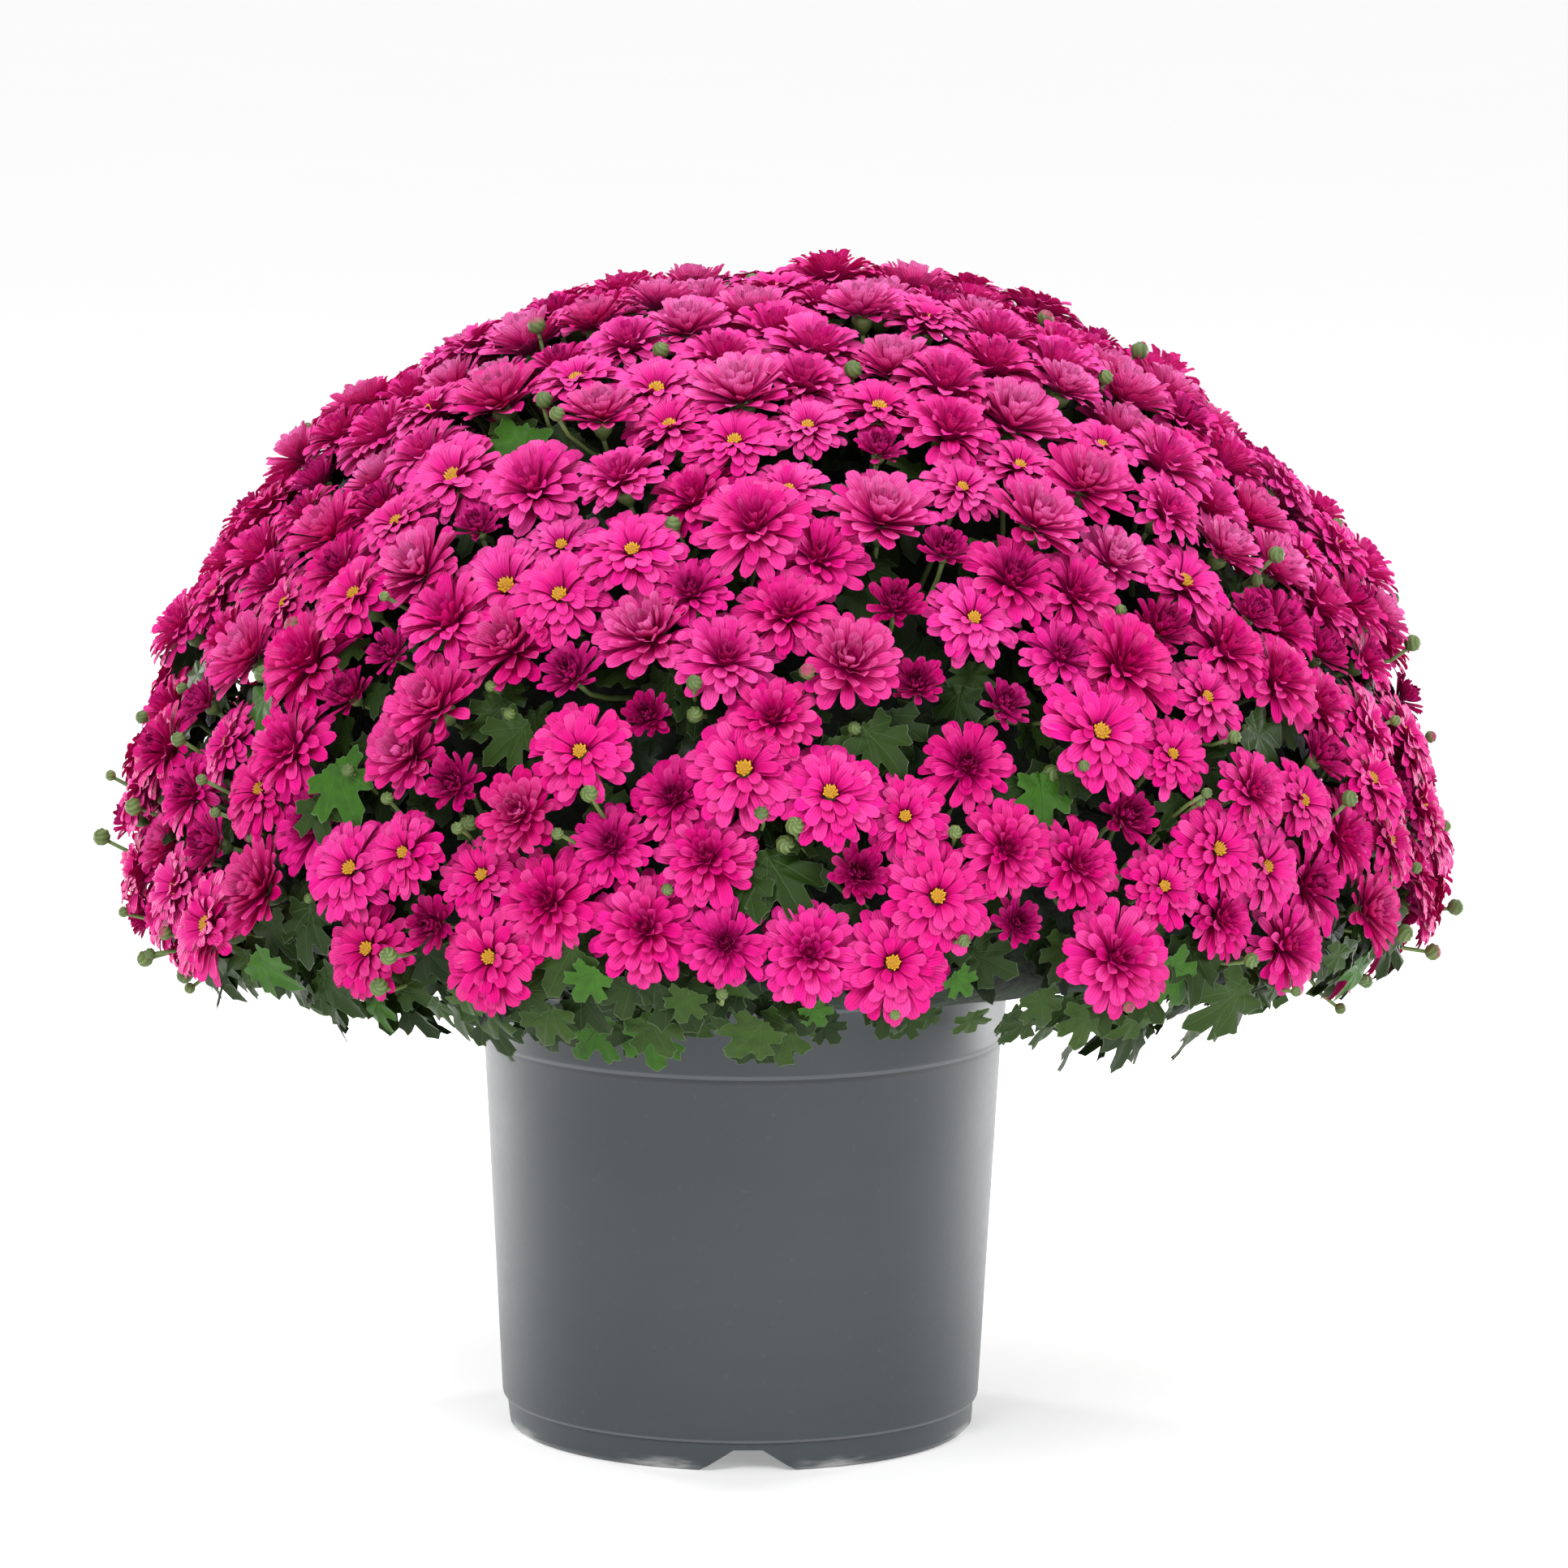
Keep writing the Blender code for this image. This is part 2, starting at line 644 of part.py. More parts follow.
def spray_seeds():
    """Middle of each spray, stem by stem: two low, two half-way up and one near the top."""
    seeds = []
    for stem in range(STEM_COUNT):
        width = 2.0 * math.pi / STEM_COUNT
        for tilt, count in zip(SPRAY_TILTS, (SPRAYS_LOW, SPRAYS_MIDDLE, SPRAYS_TOP)):
            for step in range(count):
                turn = stem_turn(stem) + width * ((step + 0.5) / count - 0.5)
                seeds.append(place(np.array(tilt), np.array(turn)))
    return np.array(seeds)


def core_shell(tilt, turn):
    """A point of the leafy mass inside the blooms, which follows the dome at a depth."""
    distance, height = dome(np.array(tilt))
    share = 1.0 - CORE_DEPTH / DOME_RADIUS
    distance = float(distance) * share
    height = max(CORE_BOTTOM, DOME_WAIST + (float(height) - DOME_WAIST) * share)
    return np.array([AXIS_X + distance * math.cos(turn), distance * math.sin(turn), height])


def core_side_angle():
    """Angle of the wedge's flat sides, which run from its inner edge to the outer corners."""
    outer = float(dome(np.array(math.radians(CORE_TILTS[0])))[0]) * (1.0 - CORE_DEPTH / DOME_RADIUS)
    half = math.pi / STEM_COUNT
    return math.atan2(outer * math.sin(half) - CORE_GAP, outer * math.cos(half) - CORE_INNER)


def make_core(stem):
    """The stem's share of the leafy mass: a wedge of it, a little apart from the next ones."""
    turn = stem_turn(stem)
    half = math.pi / STEM_COUNT
    points = []
    for degrees in CORE_TILTS:
        for side in (-1, 0, 1):
            point = core_shell(math.radians(degrees), turn + side * half)
            inwards = np.array([math.sin(turn + side * half), -math.cos(turn + side * half), 0.0]) * side
            points.append(point + inwards * CORE_GAP)
    top = core_shell(math.radians(CORE_TILTS[-1]), turn)[2]
    inner = np.array([AXIS_X + CORE_INNER * math.cos(turn), CORE_INNER * math.sin(turn), 0.0])
    points.append(inner + np.array([0.0, 0.0, CORE_BOTTOM]))
    points.append(inner + np.array([0.0, 0.0, top]))
    low = len(points) - 2
    high = low + 1
    rows = len(CORE_TILTS)
    faces = [(low, 1, 0), (low, 2, 1), (high, 3 * rows - 3, 3 * rows - 2), (high, 3 * rows - 2, 3 * rows - 1)]
    for row in range(rows - 1):
        for column in range(2):
            corner = 3 * row + column
            faces.append((corner, corner + 1, corner + 4))
            faces.append((corner, corner + 4, corner + 3))
    for side in (0, 2):
        for row in range(rows - 1):
            pivot = low if row < CORE_BEND_ROW else high
            faces.append((pivot, 3 * row + side, 3 * row + 3 + side))
        faces.append((low, high, 3 * CORE_BEND_ROW + side))
    made = new_object("core", points, faces)
    point_faces_outwards(made)
    return made


def ring_round(centre, direction, radius, sides):
    upright = abs(direction[2]) > 1.0 - NEARLY_UPRIGHT
    helper = np.array([1.0, 0.0, 0.0]) if upright else np.array([0.0, 0.0, 1.0])
    first = unit(np.cross(helper, direction))
    second = np.cross(direction, first)
    angles = [2.0 * math.pi * side / sides for side in range(sides)]
    return [centre + radius * (math.cos(angle) * first + math.sin(angle) * second) for angle in angles]


def make_rod(name, rings, sides):
    """A closed rod through rings of points."""
    points = [point for ring in rings for point in ring]
    faces = [tuple(range(sides)), tuple(reversed(range(len(points) - sides, len(points))))]
    for row in range(len(rings) - 1):
        for side in range(sides):
            after = (side + 1) % sides
            low = row * sides
            faces.append((low + side, low + sides + side, low + sides + after, low + after))
    made = new_object(name, points, faces)
    point_faces_outwards(made)
    return made


def make_trunk(stem):
    """Upright in its hole in the soil, then leaning out into the leafy mass."""
    turn = stem_turn(stem)
    x, y = trunk_place(stem)
    radius = TRUNK_RADIUS / math.cos(math.pi / TRUNK_SIDES)
    rings = []
    for height in (TRUNK_FOOT, TRUNK_BEND):
        ring = []
        for side in range(TRUNK_SIDES):
            angle = turn + 2.0 * math.pi * side / TRUNK_SIDES
            ring.append(np.array([x + radius * math.cos(angle), y + radius * math.sin(angle), height]))
        rings.append(ring)
    lean_x = AXIS_X + TRUNK_TOP_DISTANCE * math.cos(turn) - x
    lean_y = TRUNK_TOP_DISTANCE * math.sin(turn) - y
    lean = np.array([lean_x, lean_y, TRUNK_TOP_RISE])
    rings.append([point + lean for point in rings[-1]])
    return make_rod("trunk", rings, TRUNK_SIDES)


def root_in_core(stem, target):
    """The point of the stem's leafy mass that a branch or petiole to the target grows from."""
    axis = np.array([AXIS_X, 0.0, 0.0])
    level = target - axis
    distance = float(np.hypot(level[0], level[1]))
    turn = math.atan2(level[1], level[0])
    off = (turn - stem_turn(stem) + math.pi) % (2.0 * math.pi) - math.pi
    tilt = float(tilt_of(np.array(distance), np.array(target[2])))
    tilt = min(max(tilt, ROOT_TILTS[0]), ROOT_TILTS[1])
    inside = 1.0 - (CORE_DEPTH + ROOT_SUNK) / DOME_RADIUS
    reach, height = dome(np.array(tilt))
    reach = float(reach) * inside
    height = DOME_WAIST + (float(height) - DOME_WAIST) * inside
    if target[2] < BLOOM_LOWEST + ROOT_LOW_MARGIN:
        reach = max(ROOT_NEAREST, distance - ROOT_STEP_IN)
        height = CORE_BOTTOM + ROOT_LOW_RISE
    reach = min(reach, ROOT_FURTHEST)
    side = core_side_angle()
    most = side - math.asin((ROOT_MARGIN + CORE_INNER * math.sin(side)) / reach)
    off = min(max(off, -most), most)
    turn = stem_turn(stem) + off
    return np.array([AXIS_X + reach * math.cos(turn), reach * math.sin(turn), height])


def make_branch(stem, sites, number):
    """A branch from the leafy mass to just under the calyx of the spray's middle bloom."""
    tip = sites["point"][number] - (CALYX_DEPTH + BRANCH_GAP) * sites["facing"][number]
    root = root_in_core(stem, tip)
    direction = unit(tip - root)
    ends = ((root, BRANCH_ROOT_RADIUS), (tip, BRANCH_TIP_RADIUS))
    rings = [ring_round(end, direction, radius, BRANCH_SIDES) for end, radius in ends]
    return make_rod("branch", rings, BRANCH_SIDES)


def leaf_outline():
    """Angle, reach and height of the blade's rim: two root points, then lobes and the bays between them."""
    count = 2 * LEAF_LOBES + 1
    outline = []
    for step in range(count):
        angle = math.pi + 2.0 * math.pi * (step + 0.5) / count
        along = -math.cos(angle)
        if step in (0, count - 1):
            outline.append((angle, LEAF_ROOT_REACH, 0.0))
        elif step % 2 == 1:
            outline.append((angle, LOBE_REACH - LOBE_GROWTH * along, LOBE_HEIGHT))
        else:
            outline.append((angle, BAY_REACH - BAY_GROWTH * along, BAY_HEIGHT))
    return outline


def clear_of_pot(point, centre):
    """Pull a leaf's point back towards the leaf's centre until it hangs clear of the pot's rim."""
    for share in np.linspace(1.0, PULL_LEAST, PULL_STEPS):
        moved = centre + share * (point - centre)
        beside = math.hypot(moved[0], moved[1]) > RIM_RADIUS + CLEAR_BESIDE_RIM
        if beside or moved[2] > RIM_TOP + CLEAR_ABOVE_RIM:
            return moved
    return centre


def make_leaf(stem, sites, limits, number):
    """A lobed, drooping blade with a rib on both faces, and its petiole from the leafy mass."""
    centre = sites["point"][number]
    facing = sites["facing"][number]
    first, second = across_axes(facing)
    lean = LEAF_LEAN_MOST * (sites["spin"][number] / math.pi - 1.0)
    tipwards = math.cos(lean) * first + math.sin(lean) * second
    sidewards = np.cross(facing, tipwards)
    half = LEAF_HALF * sites["size"][number]
    points = []
    for angle, reach, height in leaf_outline():
        level = math.cos(angle) * tipwards + math.sin(angle) * sidewards
        offset = fit_in_room(half * (reach * level + height * facing), limits[number])
        points.append(clear_of_pot(centre + offset, centre))
    points.append(centre + 0.5 * LEAF_THICK * facing)
    points.append(centre - 0.5 * LEAF_THICK * facing)
    count = len(points) - 2
    top = count
    under = count + 1
    faces = []
    for side in range(count):
        after = (side + 1) % count
        faces.append((top, side, after))
        if side != count - 1:
            faces.append((under, after, side))
    start = (under, 0, count - 1)
    middle = sum(points[index] for index in start) / 3.0
    root = root_in_core(stem, middle)
    direction = unit(root - middle)
    spread = points[start[0]] - middle
    out = unit(spread - direction * float(spread @ direction))
    side_way = np.cross(direction, out)
    spread = points[start[1]] - middle
    sense = 1.0 if float(spread @ side_way) > 0.0 else -1.0
    end = []
    for step in range(3):
        angle = sense * 2.0 * math.pi * step / 3.0
        end.append(len(points))
        points.append(root + PETIOLE_RADIUS * (math.cos(angle) * out + math.sin(angle) * side_way))
    for edge in range(3):
        after = (edge + 1) % 3
        faces.append((start[edge], start[after], end[after], end[edge]))
    faces.append((end[0], end[1], end[2]))
    made = new_object("leaf", points, faces)
    point_faces_outwards(made)
    return made


def make_stem(stem, sites, limits, middles, leaves, finish):
    made = make_core(stem)
    made.name = f"stem_{stem + 1:02d}"
    made.data.materials.append(finish)
    pieces = [make_trunk(stem)]
    for number in middles:
        pieces.append(make_branch(stem, sites, number))
    for number in leaves:
        pieces.append(make_leaf(stem, sites, limits, number))
    join_all(made, pieces)
    return made


def make_plant():
    sites = make_sites()
    points = sites["point"]
    limits = room_limits(points)
    blooms = [number for number in range(SITE_COUNT) if not sites["leafy"][number]]
    leaves = [number for number in range(SITE_COUNT) if sites["leafy"][number]]
    seeds = spray_seeds()
    nearest = np.argmin(np.linalg.norm(points[:, None, :] - seeds[None, :, :], axis=2), axis=1)
    petal_finish = material("petals", PETAL_COLOUR, PETAL_ROUGHNESS)
    leaf_finish = material("leaf_green", LEAF_COLOUR, LEAF_ROUGHNESS)
    middles = {stem: [] for stem in range(STEM_COUNT)}
    for spray in range(SPRAY_COUNT):
        members = [number for number in blooms if nearest[number] == spray]
        members.sort(key=lambda number: float(np.linalg.norm(points[number] - seeds[spray])))
        make_spray(f"spray_{spray + 1:02d}", members, sites, limits, petal_finish)
        middles[spray // (SPRAY_COUNT // STEM_COUNT)].append(members[0])
    for stem in range(STEM_COUNT):
        turns = (sites["turn"] - stem_turn(stem) + math.pi) % (2.0 * math.pi) - math.pi
        own = [number for number in leaves if abs(turns[number]) <= math.pi / STEM_COUNT]
        make_stem(stem, sites, limits, middles[stem], own, leaf_finish)


def main():
    clear_scene()
    make_pot()
    make_soil()
    make_plant()


main()
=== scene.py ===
"""Looks of the pot chrysanthemum in its solids' frame: petals, discs, leaves, stalks, buds, pot and mix.

Metres, +Z up, the front towards -Y. Blooms and leaves stand where the solids have them, because the
same rule and the same seeded draws place them here.
"""

import json
import math

import bpy
import numpy as np
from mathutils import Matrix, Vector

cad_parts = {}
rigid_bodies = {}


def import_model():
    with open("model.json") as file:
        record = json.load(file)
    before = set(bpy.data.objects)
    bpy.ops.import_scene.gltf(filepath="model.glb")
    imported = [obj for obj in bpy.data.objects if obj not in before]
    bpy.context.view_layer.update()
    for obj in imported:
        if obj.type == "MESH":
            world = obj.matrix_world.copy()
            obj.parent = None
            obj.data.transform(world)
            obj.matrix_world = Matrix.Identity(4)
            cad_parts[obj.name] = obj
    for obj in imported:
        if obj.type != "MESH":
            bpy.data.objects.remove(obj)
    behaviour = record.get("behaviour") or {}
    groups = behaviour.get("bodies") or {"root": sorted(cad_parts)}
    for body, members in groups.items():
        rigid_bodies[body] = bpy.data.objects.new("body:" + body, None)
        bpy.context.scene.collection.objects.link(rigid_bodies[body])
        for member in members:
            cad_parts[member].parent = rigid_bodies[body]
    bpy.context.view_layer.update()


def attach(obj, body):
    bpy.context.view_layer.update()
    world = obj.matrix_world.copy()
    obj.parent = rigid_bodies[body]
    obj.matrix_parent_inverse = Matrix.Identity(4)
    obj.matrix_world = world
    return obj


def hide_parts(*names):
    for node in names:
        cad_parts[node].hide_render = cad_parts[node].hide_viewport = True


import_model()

# Pot: its grid, and the notches and drain holes cut out of it
POT_TURNS = 192
POT_SHARP = math.radians(40.0)
NOTCH_COUNT = 4
NOTCH_FIRST_TURN = math.radians(-88.0)
NOTCH_HEIGHT = 0.0108
NOTCH_TOP_WIDTH = 0.0140
NOTCH_FOOT_WIDTH = 0.0470
NOTCH_CUT = (0.0950, 0.1250)
CUT_BELOW_GROUND = 0.0010
DRAIN_RADIUS = 0.0090
DRAIN_DISTANCE = 0.0880
DRAIN_CUT = (0.0060, 0.0200)
DRAIN_SIDES = 40

# Pot: where its finish changes, as distances from the planes through the notches and as heights: wear with a
# painted highlight on the foot's chamfer, painted highlight lines along edges, and a painted shadow under
# the band
# Wear with a painted highlight on the foot's chamfer beside the notches: distances from the notch planes,
# and heights
WEAR_AND_HIGHLIGHT_BESIDE = ((0.018, 0.034), (0.044, 0.066))
WEAR_AND_HIGHLIGHT_BELOW = (0.0030, 0.0072)
# Heights of the painted highlight lines along the edges of foot, band and rim
EDGE_HIGHLIGHT_BANDS = ((0.0146, 0.0158), (0.1926, 0.1942), (0.2240, 0.2252))
EDGE_SOFT = 0.0004
SHADE_UNDER_BAND = ((0.1896, 0.1912), (0.1918, 0.1926))

# Mix and the bark chips on it
SOIL_TOP = 0.2050
SOIL_RADIUS = 0.1225
SOIL_FALL = 0.006
SOIL_BOTTOM = 0.0170
SOIL_BOTTOM_RADIUS = 0.1160
SOIL_GRID = (26, 90)
SOIL_BUMP = 0.0011
CHIP_COUNT = 260
CHIP_MARGIN = 0.008
CHIP_LIFT = 0.0012
CHIP_SIZES = ((0.002, 0.006), (0.001, 0.003), (0.0005, 0.0011))
CHIP_CORNERS = (0.75, 1.0)
CHIP_SLOPE = 0.3

# Shape of the plant
AXIS_X = 0.020
DOME_RADIUS = 0.3150
DOME_RISE = 0.2950
DOME_WAIST = 0.2650
DOME_POWER = 2.1
SKIRT_DROP = 0.0500
SKIRT_INNER_RADIUS = 0.1660
SKIRT_TOP = 0.2430
BLOOM_LOWEST = 0.2320
BLOOM_LOWEST_RISE = 0.0440

# Where blooms and leaves stand
SITE_COUNT = 576
SITE_SEED = 142
SITE_SPACING = 0.0395
SKIRT_SPACING = 0.0660
SITE_SHAKE = 0.0120
PROFILE_STEPS = 2000
RELAX_STEPS = 30
PUSH_REACH = 1.08
PUSH_SHARE = 0.22
LEAF_SHARE_LOW = 0.30
LEAF_SHARE_HIGH = 0.08
SPRAY_BORDER = 0.0140
LEAF_SHARE_TOP = 0.42
FACING_SHAKE = 0.11
GROWTH_WEIGHT = 0.8
GROWTH_CENTRE_HEIGHT = 0.10
HANG_WEIGHT = 0.35
LEAF_SUNK = 0.006
BLOOM_LIFTS = (-0.004, 0.003)
SITE_SIZES = (0.90, 1.04)
LEAF_LEAN_MOST = 0.9
NEARLY_UPRIGHT = 0.05
TINY = 1e-6
NEIGHBOUR_REACH = 0.130
SITE_GAP = 0.0006
STEM_COUNT = 8
SPRAY_TILTS = (math.radians(7.0), math.radians(36.0), math.radians(66.0))
SPRAYS_AT_TILT = (2, 2, 1)
SPRAYS_A_STEM = sum(SPRAYS_AT_TILT)
GOLDEN_ANGLE = math.pi * (3.0 - math.sqrt(5.0))

# How far the finished blooms leave those places, and the gaps among them
LOOK_SEED = 7
SWELL_HEIGHT = 0.0022
SWELL_WAVES = ((38.0, 20.0), (33.0, 29.0))
OUT_MEAN = -0.0005
OUT_SPREAD = 0.0030
OUT_LIMITS = (-0.0070, 0.0050)
ASIDE_MOST = 0.0050
BLOOM_SIZES = (0.82, 1.13)
GAP_WAYS = 16
GAP_WAYS_APART = 3
GAP_DISTANCE = 0.0215

# Blooms: kinds by height, crowding and tints
BLOOM_RADIUS = 0.0272
KIND_CHANGE_FROM = 0.28
KIND_CHANGE_OVER = 0.22
BLOOM_OVERLAP = 0.42
CROWDED_LEAST = 0.50
CROWDED_RISE = 0.55
# Purplish tint, a painted sheen of the light from above: the height where it starts and the height over
# which it grows, its most, and its spread from bloom to bloom
PURPLE_SHEEN_FROM = 0.34
PURPLE_SHEEN_OVER = 0.20
PURPLE_SHEEN_MOST = 0.8
PURPLE_SHEEN_SPREAD = 0.22
TONE_SPREAD = 0.18
PALE_SPREAD = 0.08

# Leaves of the solids, and the smaller ones beside and behind them
LEAF_MAIN_HALF = 0.0225
BRIGHT_SHARE = 0.16
BRIGHT_MOST = 0.8
HANGING_SIZES = (0.60, 1.08)
RIM_SHOWN = (0.022, 0.108)
RIM_SHOWN_SIZE = 0.55
SPARSE_REACH = 0.150
SPARSE_SHARE = 0.22
COMPANIONS = ((-1.0, 0.004), (1.0, 0.007), (-0.4, 0.011), (0.6, 0.014))
COMPANION_ASIDE = (0.012, 0.019)
COMPANION_UP = (-0.004, 0.014)
COMPANION_LEAN = 1.0
COMPANION_SHAKE = 0.22
COMPANION_SIZES = (0.66, 0.95)
# Painted shade on a smaller leaf, per metre that it lies behind its leaf
COMPANION_SHADE = 22.0

# Leaves in the gaps between blooms: which of the two widest gaps, whether only low down, how far behind the
# blooms, how much painted shade they get, their half lengths, and the columns and rings of their grids
GAP_LEAVES = (
    (0, False, 0.014, 0.20, (0.011, 0.017), 40, 2),
    (1, True, 0.014, 0.25, (0.011, 0.017), 40, 2),
    (1, False, 0.022, 0.75, (0.017, 0.023), 30, 1),
)
LEAFY_BELOW = 0.345
GAP_LEAF_LOWEST = 0.242
GAP_LEAF_ASIDE = 0.9 * GAP_DISTANCE
GAP_LEAF_DEEPER = 0.008
GAP_LEAF_SHAKE = 0.30
GAP_LEAF_TIP_SHAKE = 0.7

# Inner leafy mass: its grid, its depth behind the blooms, its underside as distances and heights, and its
# waves as depths, counts round it and radians a metre up it
CORE_GRID = (26, 72)
CORE_DEPTH = 0.052
CORE_TILTS = (-0.35, math.pi / 2.0 - 0.02)
CORE_LOWEST = 0.238
CORE_UNDERSIDE = np.array([(0.060, 0.248), (0.130, 0.244), (0.200, 0.240)])
CORE_CAP = 0.001
CORE_WAVES = ((0.025, 9.0, 14.0 / 0.3), (0.020, 17.0, -60.0))

# Stems, branches and stalks
STEM_FOOT = (0.045, 0.150)
STEM_CROTCH = (0.085, 0.280)
STEM_BEND_HEIGHT = 0.235
STEM_RADII = (0.0056, 0.0042)
BRANCH_RADII = (0.0036, 0.0022)
BRANCH_RISE = 0.012
HUB_DEPTH = 0.075
HUB_AIM_HEIGHT = 0.20
STALK_STRAIGHT = 0.024
STALK_SWELLING = 1.3
STALK_RADIUS = 0.0012
BUD_STALK_RADIUS = 0.0010

# Buds
BUD_ROOM = 0.0236
BUD_DISTANCE = 0.0235
BUD_DISTANCE_ON_LEAF = 0.0100
BUD_APART = 0.0110
BUDS_BELOW = 0.42
BUD_SHARE_LOW = 0.80
BUD_SHARE_HIGH = 0.30
BUD_SHAKE = 0.15
BUD_RADII = (0.0023, 0.0043)
BUD_LIFT = 0.008
BUD_PINK_SHARE = 0.18

# Camera, in pixels of the photo's frame
PHOTO_SIDE = 1932.0
FOCAL_PIXELS = 10280.0
AXIS_PIXEL = 917.0
CAMERA_PLACE = (0.0, -4.0, 0.915)
CAMERA_DOWN = math.radians(8.53)
CAMERA_ROLL = math.radians(0.38)
SENSOR = 36.0

# Light: the surroundings, and lamps with their place, the point they look at, their size and their power
WHITE = (1.0, 1.0, 1.0)
WORLD_STRENGTH = 0.72
FLOOR_GLOW = 0.30
FLOOR_HALF = 14.0
LAMPS = {
    "key": ((-1.0, -3.0, 2.6), (0.0, 0.0, 0.35), (1.2, 1.2), 70.0),
    "fill": ((1.8, -2.6, 1.0), (0.0, 0.0, 0.30), (1.6, 1.6), 26.0),
    "top": ((0.2, 0.3, 2.6), (0.0, 0.0, 0.45), (1.6, 1.2), 38.0),
    "left_edge": ((-1.2, 0.9, 0.30), (0.0, 0.0, 0.12), (0.30, 0.8), 14.0),
    "right_edge": ((1.2, 0.9, 0.30), (0.0, 0.0, 0.12), (0.30, 0.8), 14.0),
}


class Value:
    """A number in a material's nodes. Python's operators on it add Math nodes."""

    def __init__(self, finish, socket):
        self.finish = finish
        self.socket = socket

    def __add__(self, other):
        return self.finish.math("ADD", self, other)

    def __sub__(self, other):
        return self.finish.math("SUBTRACT", self, other)

    def __mul__(self, other):
        return self.finish.math("MULTIPLY", self, other)

    def __radd__(self, other):
        return self.finish.math("ADD", other, self)

    def __rsub__(self, other):
        return self.finish.math("SUBTRACT", other, self)

    def __rmul__(self, other):
        return self.finish.math("MULTIPLY", other, self)

    def __abs__(self):
        return self.finish.math("ABSOLUTE", self)

    def step(self, low, high):
        """0 below low and 1 above high, smooth between them."""
        settings = {"interpolation_type": "SMOOTHSTEP"}
        made = self.finish.node("ShaderNodeMapRange", settings, {0: self, 1: low, 2: high})
        return Value(self.finish, made.outputs[0])

    def within(self, rise, fall):
        """A smooth step up from 0 to 1 over the pair rise, and down again over the pair fall."""
        return self.step(*rise) * (1.0 - self.step(*fall))


class Nodes:
    """A node tree. Every node that is added to it comes from its one method."""

    def __init__(self, tree):
        self.tree = tree

    def node(self, kind, settings, sockets):
        """Any node: its type, its settings, and the values or links of its sockets."""
        made = self.tree.nodes.new(kind)
        for name, value in settings.items():
            setattr(made, name, value)
        for name, value in sockets.items():
            self.feed(made.inputs[name], value)
        return made

    def feed(self, socket, value):
        """Link a socket to another one, or give it a value. A colour has three numbers."""
        if isinstance(value, Value):
            value = value.socket
        if isinstance(value, bpy.types.NodeSocket):
            self.tree.links.new(value, socket)
        elif socket.type == "RGBA":
            socket.default_value = (*value, 1.0)
        else:
            socket.default_value = value


class Finish(Nodes):
    """A material: its nodes, and the Principled shader that they feed."""

    def __init__(self, name, fixed=()):
        self.material = bpy.data.materials.new(name)
        self.material.use_nodes = True
        super().__init__(self.material.node_tree)
        self.shader = self.tree.nodes["Principled BSDF"]
        for key, value in dict(fixed).items():
            self.feed(self.shader.inputs[key], value)

    def math(self, operation, *values):
        made = self.node("ShaderNodeMath", {"operation": operation}, dict(enumerate(values)))
        return Value(self, made.outputs[0])

    def mix(self, share, one, two):
        """A colour between two colours."""
        return self.node("ShaderNodeMix", {"data_type": "RGBA"}, {0: share, 6: one, 7: two}).outputs[2]

    def attributes(self, *names):
        """Numbers that the mesh holds at its points."""
        made = [self.node("ShaderNodeAttribute", {"attribute_name": name}, {}) for name in names]
        return [Value(self, some.outputs["Fac"]) for some in made]

    def place(self, scale=(1.0, 1.0, 1.0), turn=0.0):
        """Object coordinates, scaled and then turned about Z."""
        found = self.node("ShaderNodeTexCoord", {}, {}).outputs["Object"]
        sockets = {"Vector": found, "Scale": scale, "Rotation": (0.0, 0.0, turn)}
        return self.node("ShaderNodeMapping", {}, sockets).outputs[0]

    def noise(self, scale, detail=3.0, stretch=(1.0, 1.0, 1.0)):
        sockets = {"Vector": self.place(stretch), "Scale": scale, "Detail": detail}
        return Value(self, self.node("ShaderNodeTexNoise", {}, sockets).outputs["Fac"])

    def dress(self, colour, roughness, height, depth):
        """Feed the shader a colour, a roughness, and relief of a depth in metres from a height of 0 to 1."""
        self.feed(self.shader.inputs["Base Color"], colour)
        self.feed(self.shader.inputs["Roughness"], roughness)
        made = self.node("ShaderNodeBump", {}, {"Height": height, "Distance": depth, "Strength": 1.0})
        self.feed(self.shader.inputs["Normal"], made.outputs[0])
        return self


def link(name, data):
    """A new object with that data, in the scene."""
    made = bpy.data.objects.new(name, data)
    bpy.context.scene.collection.objects.link(made)
    return made


